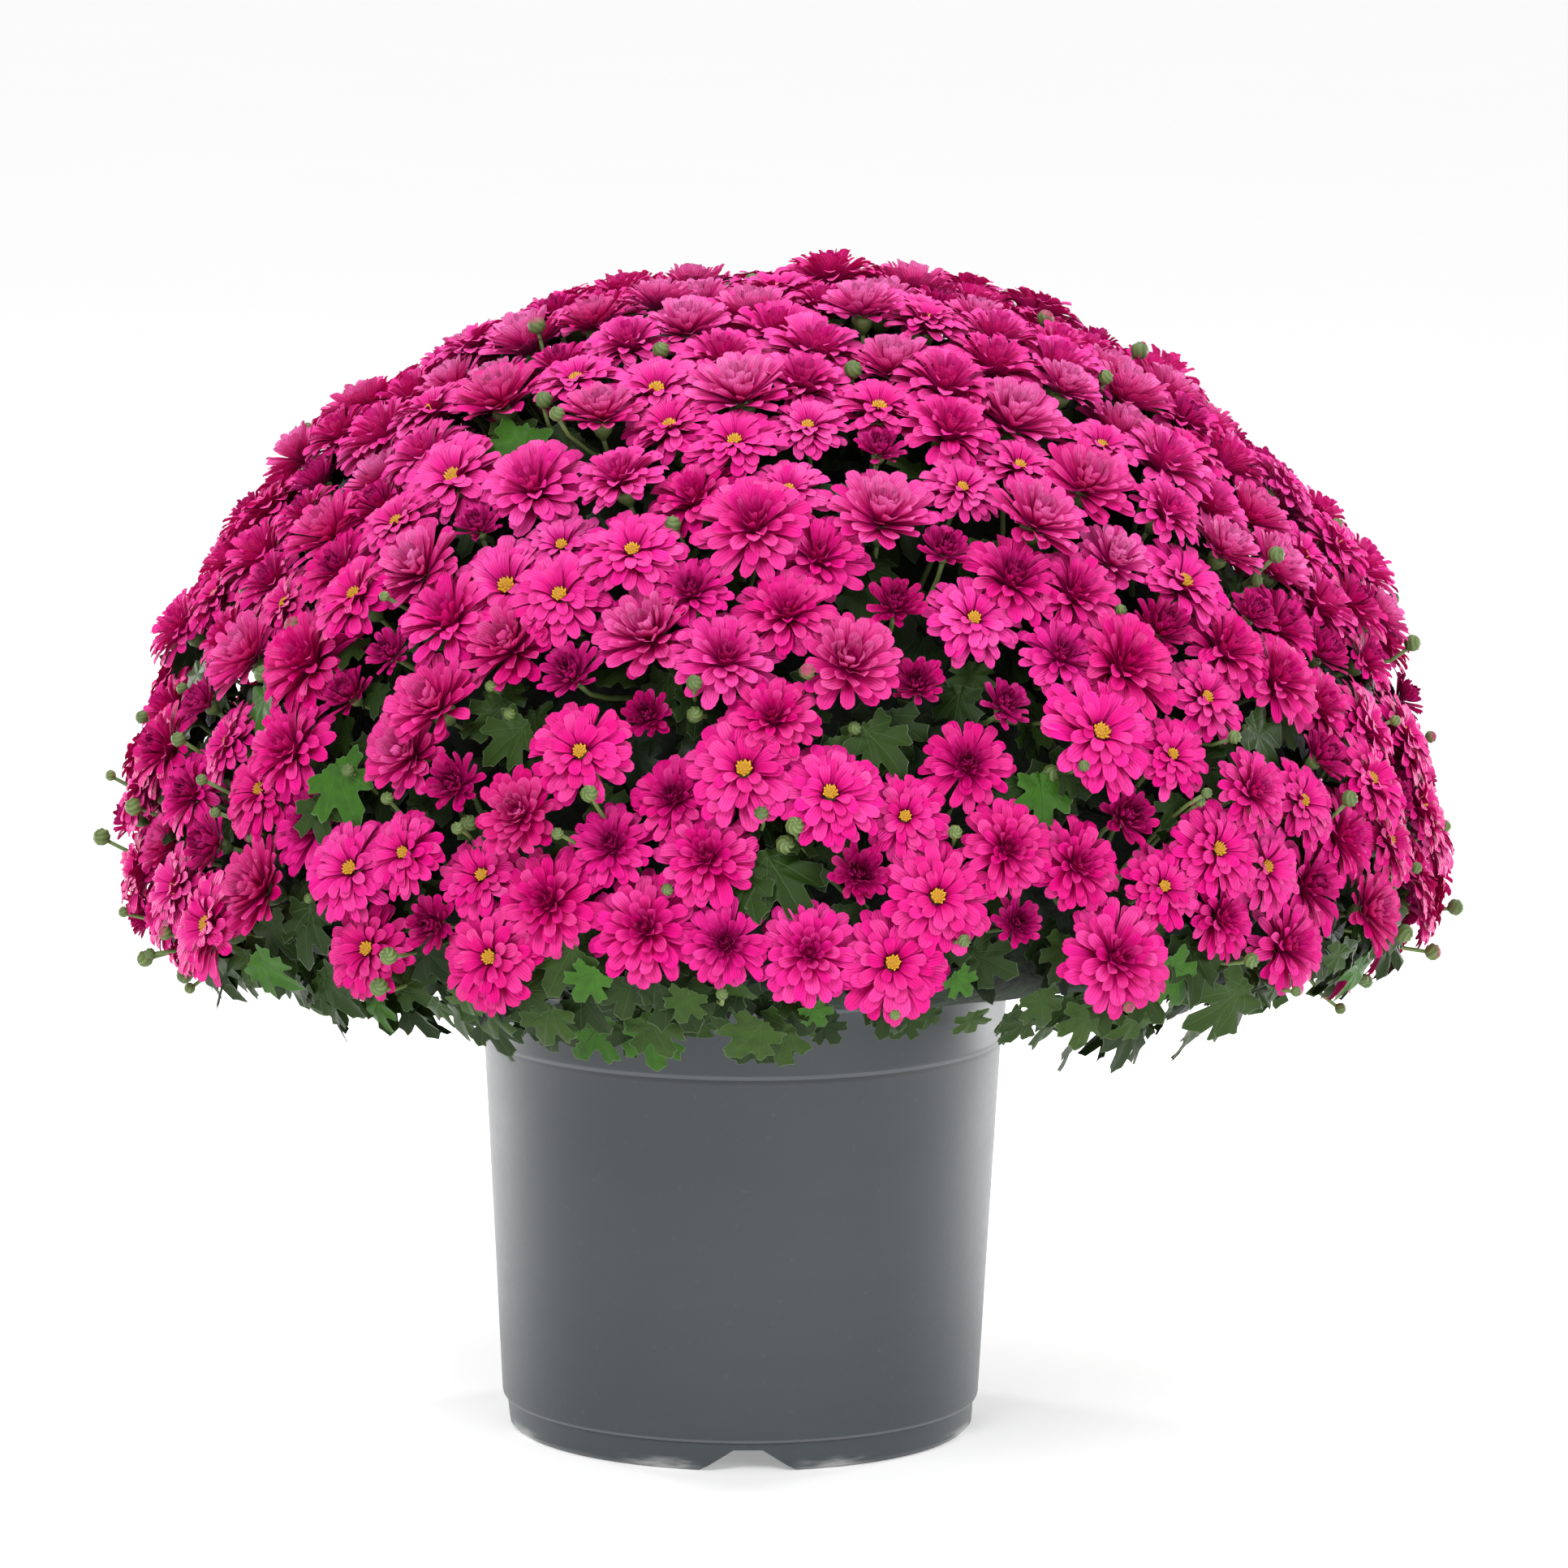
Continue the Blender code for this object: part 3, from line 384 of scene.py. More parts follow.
class Surface:
    """A mesh gathered from patches: their points, their faces and a few numbers at each point."""

    def __init__(self):
        self.points = []
        self.faces = {3: [], 4: []}
        self.values = {}
        self.count = 0

    def add(self, points, *faces, **values):
        points = np.asarray(points).reshape(-1, 3)
        self.points.append(points)
        for some in faces:
            self.faces[some.shape[1]].append(some + self.count)
        for name, value in values.items():
            column = np.broadcast_to(value, np.shape(value) or (len(points),)).reshape(-1)
            self.values.setdefault(name, []).append((self.count, column))
        self.count += len(points)

    def build(self, name, finish, slot, nodes=()):
        """One object with everything gathered, riding on the part's one body."""
        mesh = bpy.data.meshes.new(name)
        mesh.vertices.add(self.count)
        mesh.vertices.foreach_set("co", np.concatenate(self.points).astype(np.float32).ravel())
        corners = [np.concatenate(self.faces[size]) for size in (3, 4) if self.faces[size]]
        totals = np.concatenate([np.full(len(some), some.shape[1]) for some in corners])
        loops = np.concatenate([some.ravel() for some in corners])
        mesh.loops.add(len(loops))
        mesh.loops.foreach_set("vertex_index", loops.astype(np.int32))
        mesh.polygons.add(len(totals))
        mesh.polygons.foreach_set("loop_start", (np.cumsum(totals) - totals).astype(np.int32))
        mesh.update(calc_edges=True)
        for key, parts in self.values.items():
            column = np.zeros(self.count, np.float32)
            for start, part in parts:
                column[start:start + len(part)] = part
            mesh.attributes.new(key, "FLOAT", "POINT").data.foreach_set("value", column)
        mesh.shade_smooth()
        mesh.materials.append(finish.material)
        made = link(name, mesh)
        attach(made, "root")
        if nodes:
            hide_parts(*nodes)
        return made


def unit(vectors):
    """Vectors of length one in the same directions."""
    return vectors / np.maximum(np.linalg.norm(vectors, axis=-1, keepdims=True), 1e-12)


def ramp(value, start, length):
    """0 up to start and 1 from that length past it, straight between them."""
    return np.clip((value - start) / length, 0.0, 1.0)


def square_to(facing, way):
    """Ways turned square to their facings."""
    return unit(way - facing * np.sum(way * facing, axis=1, keepdims=True))


def circle(count):
    """Turns of that many points, even round a circle."""
    return np.arange(count) * 2.0 * math.pi / count


def polar(distance, turn, height):
    """Points by their distance from the Z axis, their turn about it and their height."""
    parts = np.broadcast_arrays(distance * np.cos(turn), distance * np.sin(turn), height)
    return np.stack(parts, axis=-1)


def turned(out, up, sides, low, high):
    """Rings of points about the Z axis, row by row, with distances out and heights up, and then two points
    on the axis at the heights low and high."""
    rings = polar(out, circle(sides), up).reshape(-1, 3)
    return np.concatenate([rings, [[0.0, 0.0, low], [0.0, 0.0, high]]])


def grid_quads(rows, columns, wrap=False):
    """Quads of a grid of points. They face the side that row direction cross column direction points to."""
    row = np.arange(rows - 1)[:, None]
    column = np.arange(columns if wrap else columns - 1)[None, :]
    after = (column + 1) % columns
    low = row * columns
    high = low + columns
    corners = np.stack([low + column, high + column, high + after, low + after], axis=-1)
    return corners.reshape(-1, 4)


def fan(middle, ring, outwards=True):
    """Triangles from one point to a ring of points."""
    after = np.roll(ring, -1)
    order = (ring, after) if outwards else (after, ring)
    return np.stack([np.full(len(ring), middle), *order], axis=1)


def closed_faces(rows, sides):
    """Faces of rings of points, row by row, closed by fans to two points that come after them."""
    ring = np.arange(sides)
    last = rows * sides
    quads = grid_quads(rows, sides, True)[:, ::-1]
    return [quads, fan(last, ring, False), fan(last + 1, last - sides + ring)]


def repeated(faces, copies, size):
    """The same faces for each of several copies of a shape of that many points."""
    return (faces[None] + (np.arange(copies) * size)[:, None, None]).reshape(-1, faces.shape[1])


def dome(tilt):
    """Distance from the plant's axis and height. Tilt is pi/2 at the top, 0 at the waist and less below."""
    reach = np.abs(np.cos(tilt)) ** (2.0 / DOME_POWER)
    lift = np.sign(np.sin(tilt)) * np.abs(np.sin(tilt)) ** (2.0 / DOME_POWER)
    rise = np.where(lift > 0.0, DOME_RISE, SKIRT_DROP)
    return DOME_RADIUS * reach, DOME_WAIST + rise * lift


def tilt_of(distance, height):
    """The inverse of dome, for a point that lies near its surface."""
    lift = height - DOME_WAIST
    rise = np.where(lift > 0.0, DOME_RISE, SKIRT_DROP)
    sine = np.sign(lift) * (np.abs(lift) / rise) ** (DOME_POWER / 2.0)
    cosine = (distance / DOME_RADIUS) ** (DOME_POWER / 2.0)
    return np.arctan2(sine, cosine)


def place(tilt, turn):
    """Points on the dome, whose axis stands AXIS_X to the right of the pot's."""
    distance, height = dome(tilt)
    return np.stack([AXIS_X + distance * np.cos(turn), distance * np.sin(turn), height], axis=-1)


def spacing_at(tilt):
    """Blooms stand close on the dome and leaves wider apart under the skirt."""
    return np.where(dome(tilt)[1] > SKIRT_TOP, SITE_SPACING, SKIRT_SPACING)


def lowest_tilt():
    """Tilt at which the skirt has come in to its inner radius."""
    return -math.acos((SKIRT_INNER_RADIUS / DOME_RADIUS) ** (DOME_POWER / 2.0))


def spread_sites():
    """A golden spiral of even area over the dome, shaken by a seeded draw, then pushed to even distances."""
    draw = np.random.RandomState(SITE_SEED)
    tilts = np.linspace(math.pi / 2.0, lowest_tilt(), PROFILE_STEPS)
    distance, height = dome(tilts)
    step = np.hypot(np.diff(distance), np.diff(height))
    middle = 0.5 * (tilts[1:] + tilts[:-1])
    share = 0.5 * (distance[1:] + distance[:-1]) * step / spacing_at(middle) ** 2
    reached = np.concatenate([[0.0], np.cumsum(share)])
    wanted = (np.arange(SITE_COUNT) + 0.5) / SITE_COUNT * reached[-1]
    tilt = np.interp(wanted, reached, tilts)
    turn = np.arange(SITE_COUNT) * GOLDEN_ANGLE
    points = place(tilt, turn) + draw.uniform(-SITE_SHAKE, SITE_SHAKE, (SITE_COUNT, 3))
    for _ in range(RELAX_STEPS):
        apart = points[:, None, :] - points[None, :, :]
        far = np.linalg.norm(apart, axis=2) + np.eye(SITE_COUNT)
        wish = 0.5 * (spacing_at(tilt)[:, None] + spacing_at(tilt)[None, :]) * PUSH_REACH
        push = np.where(far < wish, (wish - far) / far, 0.0)
        np.fill_diagonal(push, 0.0)
        points = points + PUSH_SHARE * np.sum(apart * push[:, :, None], axis=1)
        turn = np.arctan2(points[:, 1], points[:, 0] - AXIS_X)
        tilt = tilt_of(np.hypot(points[:, 0] - AXIS_X, points[:, 1]), points[:, 2])
        tilt = np.maximum(tilt, lowest_tilt())
        points = place(tilt, turn)
    return points, tilt, turn


def stem_turn(number):
    """Turn of a stem, in the middle of its own sector."""
    return 2.0 * math.pi * (number + 0.5) / STEM_COUNT


def spray_seeds():
    """Middle of each spray, stem by stem: two low, two half-way up and one near the top."""
    seeds = []
    for stem in range(STEM_COUNT):
        width = 2.0 * math.pi / STEM_COUNT
        for tilt, count in zip(SPRAY_TILTS, SPRAYS_AT_TILT):
            for step in range(count):
                turn = stem_turn(stem) + width * ((step + 0.5) / count - 0.5)
                seeds.append(place(np.array(tilt), np.array(turn)))
    return np.array(seeds)


def hangs(points, turn):
    """Whether a site is so low that it has a hanging leaf. Blooms reach lower at the sides than in front."""
    return points[:, 2] < BLOOM_LOWEST + BLOOM_LOWEST_RISE * np.abs(np.sin(turn))


def make_sites():
    """Centre, facing, kind and size of every bloom and leaf."""
    points, tilt, turn = spread_sites()
    draw = np.random.RandomState(SITE_SEED + 1)
    around = np.stack([np.cos(turn), np.sin(turn), np.zeros_like(turn)], axis=1)
    up = np.array([0.0, 0.0, 1.0])
    rise = np.where(points[:, 2] > DOME_WAIST, DOME_RISE, SKIRT_DROP)
    slope = (points[:, 2] - DOME_WAIST) / rise ** 2
    flat = np.hypot(points[:, 0] - AXIS_X, points[:, 1]) / DOME_RADIUS ** 2
    surface = unit(around * flat[:, None] + up * slope[:, None])
    growth = unit(points - np.array([AXIS_X, 0.0, GROWTH_CENTRE_HEIGHT]))
    shaken = draw.normal(0.0, FACING_SHAKE, (SITE_COUNT, 3))
    chance = draw.uniform(0.0, 1.0, SITE_COUNT)
    share = np.where(points[:, 2] < LEAF_SHARE_TOP, LEAF_SHARE_LOW, LEAF_SHARE_HIGH)
    to_seeds = np.sort(np.linalg.norm(points[:, None, :] - spray_seeds()[None, :, :], axis=2), axis=1)
    border = to_seeds[:, 1] - to_seeds[:, 0] < SPRAY_BORDER
    low = hangs(points, turn)
    leafy = low | (border & (chance < share))
    facing = unit(surface + GROWTH_WEIGHT * growth + shaken)
    hanging = unit(around + HANG_WEIGHT * surface + shaken)
    facing = np.where(low[:, None], hanging, facing)
    lift = np.where(leafy, -LEAF_SUNK, draw.uniform(*BLOOM_LIFTS, SITE_COUNT))
    lift = np.where(low, 0.0, lift)
    points = points + facing * lift[:, None]
    spin = draw.uniform(0.0, 2.0 * math.pi, SITE_COUNT)
    size = draw.uniform(*SITE_SIZES, SITE_COUNT)
    return {"point": points, "facing": facing, "leafy": leafy, "low": low, "turn": turn, "spin": spin,
            "size": size}


def stir(sites, draw):
    """Move each bloom a few millimetres aside and in or out, on gentle swells, and vary the sizes. The axes
    of a site are the way downhill, the way aside and its facing."""
    first, second = across_axes(sites["facing"])
    points = sites["point"]
    x, y, z = points.T
    (wave_x, wave_up), (wave_y, wave_down) = SWELL_WAVES
    swell = SWELL_HEIGHT * (np.sin(wave_x * x + wave_up * z) + np.cos(wave_y * y - wave_down * z))
    out = swell + np.clip(draw.normal(OUT_MEAN, OUT_SPREAD, SITE_COUNT), *OUT_LIMITS)
    aside = draw.uniform(-ASIDE_MOST, ASIDE_MOST, (SITE_COUNT, 2))
    moved = points + out[:, None] * sites["facing"] + aside[:, :1] * first + aside[:, 1:] * second
    points = np.where(sites["leafy"][:, None], points, moved)
    size = sites["size"] * draw.uniform(*BLOOM_SIZES, SITE_COUNT)
    axes = np.stack([first, second, sites["facing"]], axis=1)
    return {**sites, "point": points, "size": size, "axes": axes}


def across_axes(facing):
    """Two directions square to each facing, the first one downhill."""
    down = np.array([0.0, 0.0, -1.0])
    first = down - facing * (facing @ down)[:, None]
    flat = np.linalg.norm(first, axis=1) < NEARLY_UPRIGHT
    front = np.array([0.0, -1.0, 0.0]) + facing * facing[:, 1:2]
    first = unit(np.where(flat[:, None], front, first))
    return first, np.cross(facing, first)


def room_share(points, number, offsets):
    """How far each offset from a site may go before it meets the middle between the site and a neighbour."""
    apart = points - points[number]
    far = np.linalg.norm(apart, axis=1)
    near = (far > 0.0) & (far < NEIGHBOUR_REACH)
    towards = offsets @ (apart[near] / far[near][:, None]).T
    reach = 0.5 * (far[near] - SITE_GAP)
    return np.min(np.where(towards > TINY, reach / np.maximum(towards, TINY), 10.0), axis=-1)


def widest_gaps(sites):
    """For each site, directions to the two widest gaps of those tried round it, and the room in the first.
    A gap is as wide as the three sites nearest to its middle are far, in sum. The second gap lies well to
    another side. The room is how far the second nearest site is from the gap's middle."""
    points = sites["point"]
    first, second = sites["axes"][:, None, 0], sites["axes"][:, None, 1]
    turns = circle(GAP_WAYS)[None, :, None]
    tried = np.cos(turns) * first + np.sin(turns) * second
    spots = points[:, None, :] + GAP_DISTANCE * tried
    far = np.linalg.norm(spots[:, :, None, :] - points[None, None, :, :], axis=3)
    nearest = np.sort(far, axis=2)
    width = nearest[:, :, :3].sum(axis=2)
    best = np.argmax(width, axis=1)
    half = GAP_WAYS // 2
    turned_away = np.abs((np.arange(GAP_WAYS)[None, :] - best[:, None] + half) % GAP_WAYS - half)
    after = np.argmax(np.where(turned_away > GAP_WAYS_APART, width, 0.0), axis=1)
    order = np.arange(len(points))
    return tried[order, best], tried[order, after], nearest[order, best, 1]


# Kinds of bloom. Each row of numbers runs from the outermost petal to the innermost one, at the shares
# in "at". Lengths are shares of the bloom's radius: where the tip and the bend of the midrib are, measured
# out from the bloom's axis and up along it, then the half width, how far the edges curl up, and how dark or
# pale the petal is.
KINDS = {
    "open": {
        "petals": 64, "radius": 1.0, "disc": True,
        "at": (0.0, 0.32, 0.60, 0.82, 1.0),
        "tip_out": (1.00, 0.95, 0.80, 0.60, 0.40), "tip_up": (-0.20, -0.04, 0.09, 0.19, 0.24),
        "bend_out": (0.56, 0.52, 0.42, 0.31, 0.20), "bend_up": (0.02, 0.11, 0.20, 0.26, 0.26),
        "half": (0.128, 0.128, 0.124, 0.112, 0.098), "curl": (0.22, 0.25, 0.28, 0.30, 0.34),
        "dark": (0.0, 0.0, 0.0, 0.05, 0.12), "pale": (0.15, 0.15, 0.18, 0.22, 0.15),
    },
    "dark_centre": {
        "petals": 64, "radius": 0.93, "disc": False,
        "at": (0.0, 0.32, 0.55, 0.75, 1.0),
        "tip_out": (1.00, 0.92, 0.70, 0.36, 0.05), "tip_up": (-0.20, -0.02, 0.15, 0.28, 0.30),
        "bend_out": (0.56, 0.52, 0.44, 0.33, 0.13), "bend_up": (0.00, 0.08, 0.13, 0.17, 0.17),
        "half": (0.128, 0.126, 0.108, 0.078, 0.050), "curl": (0.28, 0.32, 0.50, 0.85, 0.95),
        "dark": (0.0, 0.03, 0.14, 0.50, 1.0), "pale": (0.05, 0.05, 0.05, 0.0, 0.0),
    },
    "full": {
        "petals": 70, "radius": 1.0, "disc": False,
        "at": (0.0, 0.30, 0.58, 0.82, 1.0),
        "tip_out": (1.00, 0.94, 0.74, 0.42, 0.10), "tip_up": (-0.22, -0.02, 0.20, 0.36, 0.40),
        "bend_out": (0.56, 0.52, 0.44, 0.30, 0.10), "bend_up": (0.02, 0.12, 0.23, 0.28, 0.28),
        "half": (0.126, 0.126, 0.116, 0.092, 0.062), "curl": (0.25, 0.30, 0.40, 0.60, 0.80),
        "dark": (0.0, 0.0, 0.0, 0.06, 0.30), "pale": (0.12, 0.15, 0.18, 0.14, 0.05),
    },
    "cup": {
        "petals": 58, "radius": 0.96, "disc": False,
        "at": (0.0, 0.35, 0.65, 1.0),
        "tip_out": (1.00, 0.86, 0.56, 0.14), "tip_up": (-0.08, 0.14, 0.32, 0.38),
        "bend_out": (0.60, 0.54, 0.40, 0.22), "bend_up": (-0.08, 0.00, 0.10, 0.16),
        "half": (0.132, 0.128, 0.112, 0.086), "curl": (0.35, 0.40, 0.55, 0.85),
        "dark": (0.0, 0.0, 0.03, 0.12), "pale": (0.15, 0.25, 0.55, 0.80),
    },
    "young": {
        "petals": 46, "radius": 0.60, "disc": False,
        "at": (0.0, 0.35, 0.65, 1.0),
        "tip_out": (0.98, 0.76, 0.42, 0.08), "tip_up": (0.00, 0.28, 0.44, 0.48),
        "bend_out": (0.62, 0.56, 0.44, 0.20), "bend_up": (-0.10, 0.02, 0.12, 0.20),
        "half": (0.140, 0.130, 0.105, 0.070), "curl": (0.45, 0.60, 0.80, 0.90),
        "dark": (0.15, 0.35, 0.70, 1.0), "pale": (0.05, 0.0, 0.0, 0.0),
    },
}
KIND_NAMES = tuple(KINDS)
KIND_SHARES_LOW = (0.45, 0.14, 0.23, 0.04, 0.14)
KIND_SHARES_HIGH = (0.22, 0.08, 0.38, 0.27, 0.05)

# A petal's grid: how far along the midrib each row is, at its middle and at its edges, and its width there
PETAL_MIDDLE = np.array([0.0, 0.26, 0.50, 0.72, 0.89, 1.0])
PETAL_EDGE = np.array([0.0, 0.25, 0.48, 0.70, 0.87, 0.965])
PETAL_WIDTH = np.array([0.34, 0.56, 0.84, 1.0, 0.97, 0.60])
PETAL_COLUMNS = np.array([-1.0, 0.0, 1.0])

# Petals' roots from the first to the last one, out and up, by whether the bloom shows a disc, and how much
# petals of one bloom differ
PETAL_FACTS = ("tip_out", "tip_up", "bend_out", "bend_up", "half", "curl", "dark", "pale")
PETAL_ROOTS = {True: ((0.15, 0.12), (-0.34, -0.02)), False: ((0.15, 0.03), (-0.34, -0.12))}
PETAL_REACHES = (0.93, 1.06)
PETAL_HALVES = (0.88, 1.12)
PETAL_CURLS = (0.5, 1.5)
PETAL_UP_SPREAD = 0.035
PETAL_TURN_SPREAD = 0.10
PETAL_ROLL_SPREAD = 0.16
PETAL_SWAY_SPREAD = 0.10
BLOOM_FACTS = ("point", "axes", "radius", "spin", "spray")


def petal_grid(root, bend, tip, azimuth, half, curl, roll, sway):
    """Petals as grids. A midrib is the quadratic curve root, bend, tip, in the plane that holds the bloom's
    axis and leans sideways by sway times the square of the way along. The blade runs to both sides of it
    by its half width times PETAL_WIDTH, with edges that curl up by curl times that width."""
    along = np.stack([PETAL_EDGE, PETAL_MIDDLE, PETAL_EDGE], axis=1)[None, :, :, None]
    ends = [part[:, None, None, :] for part in (root, bend, tip)]
    line = (1 - along) ** 2 * ends[0] + 2 * along * (1 - along) * ends[1] + along ** 2 * ends[2]
    slope = 2 * (1 - along) * (ends[1] - ends[0]) + 2 * along * (ends[2] - ends[1])
    slope = unit(slope)
    turn = azimuth[:, None, None] + sway[:, None, None] * along[..., 0] ** 2
    out = np.stack([np.cos(turn), np.sin(turn), np.zeros_like(turn)], axis=-1)
    side = np.stack([-np.sin(turn), np.cos(turn), np.zeros_like(turn)], axis=-1)
    up = np.array([0.0, 0.0, 1.0])
    middle = line[..., :1] * out + line[..., 1:] * up
    face = -slope[..., 1:] * out + slope[..., :1] * up
    cosine = np.cos(roll)[:, None, None, None]
    sine = np.sin(roll)[:, None, None, None]
    side, face = cosine * side + sine * face, cosine * face - sine * side
    width = half[:, None, None, None] * PETAL_WIDTH[None, :, None, None]
    column = PETAL_COLUMNS[None, None, :, None]
    lifted = curl[:, None, None, None] * np.abs(column) * width * (0.4 + 0.6 * along)
    return middle + column * width * side + lifted * face


def bloom_petals(facts, radius, spin, draw):
    """All petals of a bloom, about its own axis, and their dark and pale shares."""
    count = facts["petals"]
    share = np.arange(count) / (count - 1.0)
    read = {key: np.interp(share, facts["at"], facts[key]) for key in PETAL_FACTS}
    reach = draw.uniform(*PETAL_REACHES, count)
    up_shift = draw.normal(0.0, PETAL_UP_SPREAD, count)
    roots = [np.interp(share, (0.0, 1.0), ends) for ends in PETAL_ROOTS[facts["disc"]]]
    root = radius * np.stack(roots, axis=1)
    bend = radius * np.stack([read["bend_out"] * reach, read["bend_up"] + 0.5 * up_shift], axis=1)
    tip = radius * np.stack([read["tip_out"] * reach, read["tip_up"] + up_shift], axis=1)
    azimuth = spin + np.arange(count) * GOLDEN_ANGLE + draw.normal(0.0, PETAL_TURN_SPREAD, count)
    half = radius * read["half"] * draw.uniform(*PETAL_HALVES, count)
    curl = read["curl"] * draw.uniform(*PETAL_CURLS, count)
    roll = draw.normal(0.0, PETAL_ROLL_SPREAD, count)
    sway = draw.normal(0.0, PETAL_SWAY_SPREAD, count)
    return petal_grid(root, bend, tip, azimuth, half, curl, roll, sway), read["dark"], read["pale"]


def crowd(grid, sites, number):
    """Shorten each petal that would run far into a neighbour's space, and bend it up, as in a crowd."""
    world = grid.reshape(-1, 3) @ sites["axes"][number]
    share = np.min(room_share(sites["point"], number, world).reshape(len(grid), -1), axis=1)
    share = np.clip((1.0 + BLOOM_OVERLAP) * share, CROWDED_LEAST, 1.0)[:, None, None, None]
    lifted = grid * np.concatenate([share, share, np.ones_like(share)], axis=-1)
    out = np.linalg.norm(grid[..., :2], axis=-1, keepdims=True)
    lifted[..., 2:] += (1.0 - share) * CROWDED_RISE * out
    return lifted


def choose_kinds(sites, draw):
    """Kind and radius of each bloom: more open ones low down, more cups near the top."""
    share = ramp(sites["point"][:, 2], KIND_CHANGE_FROM, KIND_CHANGE_OVER)[:, None]
    chances = (1.0 - share) * np.array(KIND_SHARES_LOW) + share * np.array(KIND_SHARES_HIGH)
    steps = np.cumsum(chances, axis=1) / np.sum(chances, axis=1, keepdims=True)
    kinds = np.sum(draw.uniform(0.0, 1.0, SITE_COUNT)[:, None] > steps, axis=1)
    radii = np.array([facts["radius"] for facts in KINDS.values()])
    return kinds, BLOOM_RADIUS * sites["size"] * radii[kinds]


# Disc and its florets, in shares of the bloom's radius
DISC_RINGS = (0.35, 0.75, 1.0)
DISC_SIDES = 10
DISC_RADIUS = 0.120
DISC_RISE = 0.11
DISC_FALL = 0.07
FLORETS = 26
FLORET_REACH = 0.118
FLORET_SIZE = 0.026
FLORET_SUNK = 0.008
FLORET_LEAN = 0.25
FLORET_HEIGHT = 0.055

# A rod this near to upright gets its rings from another helper direction
STEEP = 0.9


def add_disc(surface, axes, centre, radius, spin):
    """A low dome with small pointed florets placed by the golden angle. Its height is DISC_RISE less
    DISC_FALL times the square of the way out."""
    way = np.array(DISC_RINGS)[:, None]
    dish = polar(DISC_RADIUS * radius * way, circle(DISC_SIDES), radius * (DISC_RISE - DISC_FALL * way ** 2))
    points = np.concatenate([dish.reshape(-1, 3), [[0.0, 0.0, DISC_RISE * radius]]])
    top = fan(len(points) - 1, np.arange(DISC_SIDES))
    surface.add(centre + points @ axes, grid_quads(len(way), DISC_SIDES, True), top, ripe=0.0)
    order = np.arange(FLORETS)
    out = FLORET_REACH * radius * np.sqrt((order + 0.5) / FLORETS)
    turn = spin + order * GOLDEN_ANGLE
    up = radius * (DISC_RISE - DISC_FALL * (out / (DISC_RADIUS * radius)) ** 2)
    foot = polar(out, turn, up - FLORET_SUNK * radius)
    base = foot[:, None, :] + polar(FLORET_SIZE * radius, circle(4), 0.0)
    tip = foot + polar(FLORET_LEAN * out, turn, FLORET_HEIGHT * radius)
    points = np.concatenate([base, tip[:, None, :]], axis=1).reshape(-1, 3)
    faces = repeated(fan(4, np.arange(4)), FLORETS, 5)
    surface.add(centre + points @ axes, faces, ripe=np.repeat(order / FLORETS, 5))


def add_turned(surface, axes, centre, profile, sides, **values):
    """A shape turned about an axis from a profile of (out, up) pairs, closed at both ends."""
    points = turned(profile[:, :1], profile[:, 1:], sides, profile[0, 1], profile[-1, 1])
    surface.add(centre + points @ axes, *closed_faces(len(profile), sides), **values)


def add_tubes(surface, paths, radii, sides, **values):
    """Round rods through rows of points, with a radius at each point and closed ends."""
    copies, rows = paths.shape[:2]
    slope = unit(np.gradient(paths, axis=1))
    whole = unit(paths[:, -1] - paths[:, 0])
    steep = np.abs(whole[:, 2:]) >= STEEP
    helper = np.where(steep, np.array([[1.0, 0.0, 0.0]]), np.array([[0.0, 0.0, 1.0]]))
    first = unit(np.cross(helper[:, None, :], slope))
    second = np.cross(slope, first)
    turns = circle(sides)[:, None]
    ring = first[:, :, None, :] * np.cos(turns) + second[:, :, None, :] * np.sin(turns)
    points = paths[:, :, None, :] + radii[:, :, None, None] * ring
    points = np.concatenate([points.reshape(copies, -1, 3), paths[:, :1], paths[:, -1:]], axis=1)
    faces = [repeated(some, copies, rows * sides + 2) for some in closed_faces(rows, sides)]
    surface.add(points, *faces, **values)


def curve(start, bend, end, steps):
    """Points of quadratic curves from start to end, pulled towards bend."""
    share = np.linspace(0.0, 1.0, steps)[None, :, None]
    start, bend, end = start[:, None, :], bend[:, None, :], end[:, None, :]
    return (1 - share) ** 2 * start + 2 * share * (1 - share) * bend + share ** 2 * end


# Lobes of a leaf from its tip to its root: angle from the tip, length and half width in radians
LEAF_LOBES = ((0.0, 1.00, 0.46), (1.00, 0.88, 0.42), (1.98, 0.74, 0.44))
LEAF_BODY = 0.50
LEAF_BODY_TIPWARDS = 0.06
LEAF_TEETH = 15.0
LEAF_TOOTH = 0.065

# Ranges of a blade's droop, its fold, its wave and where the wave starts, then what all blades share
LEAF_SHAPES = ((0.10, 0.42), (-0.05, 0.30), (0.02, 0.07), (0.0, 6.28))
LEAF_DROOP_START = 0.35
LEAF_ARCH = 0.18
LEAF_WAVES = 7.0
LEAF_BORDER = 0.90

# Columns and rings of the grids of the solids' leaves and of the smaller ones beside them
LEAF_MAIN_GRID = (60, 3)
COMPANION_GRID = (45, 2)

# A leaf's side ribs start at this point on the midrib, behind the leaf's middle, and run at these angles
RIB_ROOT = 0.30
RIB_TURNS = (0.58, 1.20)


